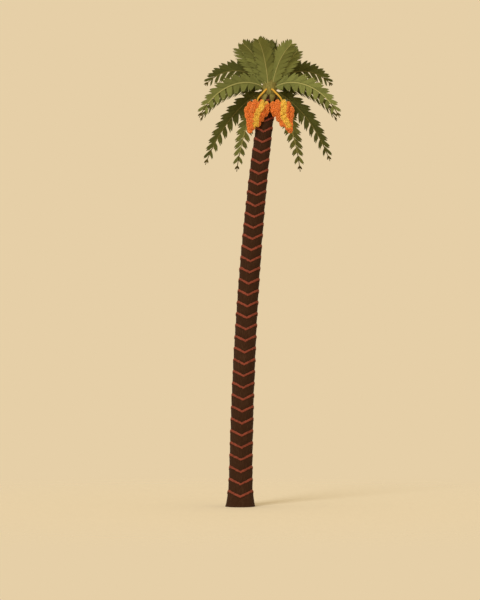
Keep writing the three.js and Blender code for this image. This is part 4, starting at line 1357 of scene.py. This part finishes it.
def make_stage(stage):
    """Camera at the picture's view, plain light and a pale floor."""
    scene = bpy.context.scene
    camera = bpy.data.cameras.new("camera")
    camera.sensor_fit = "VERTICAL"
    camera.sensor_height = SENSOR_HEIGHT
    camera.lens = SENSOR_HEIGHT * stage.distance / stage.picture_height
    camera.clip_end = CLIP_END
    eye = bpy.data.objects.new("camera", camera)
    eye.location = (EYE_ASIDE, -stage.distance, stage.eye_height)
    eye.rotation_euler = radians((90, 0, 0))
    scene.collection.objects.link(eye)
    scene.camera = eye

    scene.view_settings.view_transform = "Standard"
    world = bpy.data.worlds.new("studio")
    world.use_nodes = True
    background = world.node_tree.nodes["Background"]
    background.inputs["Color"].default_value = stage.backdrop
    background.inputs["Strength"].default_value = 1.0
    scene.world = world

    light = bpy.data.lights.new("sun", "SUN")
    light.energy = stage.sun
    light.angle = math.radians(SUN_WIDTH)
    light.color = SUN_COLOUR
    sun = bpy.data.objects.new("sun", light)
    sun.rotation_euler = radians(SUN_TURN)
    scene.collection.objects.link(sun)

    ring = level(stage.floor_radius, turns(FLOOR_SIDES))
    mesh = bpy.data.meshes.new("studio_floor")
    mesh.from_pydata(ring.tolist(), [], [list(range(FLOOR_SIDES))])
    mesh.materials.append(floor_finish(stage))
    floor = bpy.data.objects.new("studio_floor", mesh)
    floor.location = (0, 0, -FLOOR_DROP)
    scene.collection.objects.link(floor)


class PALM_OT_stage(bpy.types.Operator):
    """Set up the camera, the light and the floor"""

    bl_idname = "palm.stage"
    bl_label = "Stage"

    def execute(self, context):
        make_stage(context.scene.palm_stage)
        return {"FINISHED"}


class PALM_OT_trunk(bpy.types.Operator):
    """Make the bark with its rings of leaf scars"""

    bl_idname = "palm.trunk"
    bl_label = "Trunk"

    def execute(self, context):
        make_trunk(context.scene.palm_trunk)
        return {"FINISHED"}


class PALM_OT_splinters(bpy.types.Operator):
    """Make the loose fibres on the leaf scars"""

    bl_idname = "palm.splinters"
    bl_label = "Fibre splinters"

    def execute(self, context):
        make_splinters(context.scene.palm_trunk)
        return {"FINISHED"}


class PALM_OT_heart(bpy.types.Operator):
    """Make the heart of young leaf bases"""

    bl_idname = "palm.heart"
    bl_label = "Heart"

    def execute(self, context):
        make_heart(context.scene.palm_trunk)
        return {"FINISHED"}


class PALM_OT_leaf_bases(bpy.types.Operator):
    """Make the old leaf bases under the heart"""

    bl_idname = "palm.leaf_bases"
    bl_label = "Old leaf bases"

    def execute(self, context):
        make_leaf_bases(context.scene.palm_trunk)
        return {"FINISHED"}


class PALM_OT_spear(bpy.types.Operator):
    """Make the closed spear leaf"""

    bl_idname = "palm.spear"
    bl_label = "Spear leaf"

    def execute(self, context):
        make_spear(context.scene.palm_fronds)
        return {"FINISHED"}


class PALM_OT_fronds(bpy.types.Operator):
    """Make every tier of fronds"""

    bl_idname = "palm.fronds"
    bl_label = "Fronds"

    def execute(self, context):
        make_fronds(context.scene.palm_fronds)
        return {"FINISHED"}


class PALM_OT_stalks(bpy.types.Operator):
    """Make the fruit stalks and their strands"""

    bl_idname = "palm.stalks"
    bl_label = "Fruit stalks"

    def execute(self, context):
        make_stalks(context.scene.palm_dates)
        return {"FINISHED"}


class PALM_OT_dates(bpy.types.Operator):
    """Make the bunches of dates"""

    bl_idname = "palm.dates"
    bl_label = "Dates"

    def execute(self, context):
        make_dates(context.scene.palm_dates)
        return {"FINISHED"}


OPERATORS = (
    PALM_OT_stage,
    PALM_OT_trunk,
    PALM_OT_splinters,
    PALM_OT_heart,
    PALM_OT_leaf_bases,
    PALM_OT_spear,
    PALM_OT_fronds,
    PALM_OT_stalks,
    PALM_OT_dates,
)


class PALM_PT_sidebar(bpy.types.Panel):
    """The date palm's settings and pieces"""

    bl_idname = "PALM_PT_sidebar"
    bl_label = "Date palm"
    bl_space_type = "VIEW_3D"
    bl_region_type = "UI"
    bl_category = "Date palm"

    def draw(self, context):
        for name, group in SETTINGS.items():
            box = self.layout.box()
            for prop in group.__annotations__:
                box.prop(getattr(context.scene, name), prop)
        for operator in OPERATORS:
            self.layout.operator(operator.bl_idname)


CLASSES = (*SETTINGS.values(), *OPERATORS, PALM_PT_sidebar)


def register():
    for cls in CLASSES:
        bpy.utils.register_class(cls)
    for name, group in SETTINGS.items():
        setattr(bpy.types.Scene, name, PointerProperty(type=group))


def unregister():
    for name in SETTINGS:
        delattr(bpy.types.Scene, name)
    for cls in reversed(CLASSES):
        bpy.utils.unregister_class(cls)


def main():
    register()
    for operator in OPERATORS:
        getattr(bpy.ops.palm, operator.bl_idname.split(".")[1])()


if __name__ == "__main__":
    main()
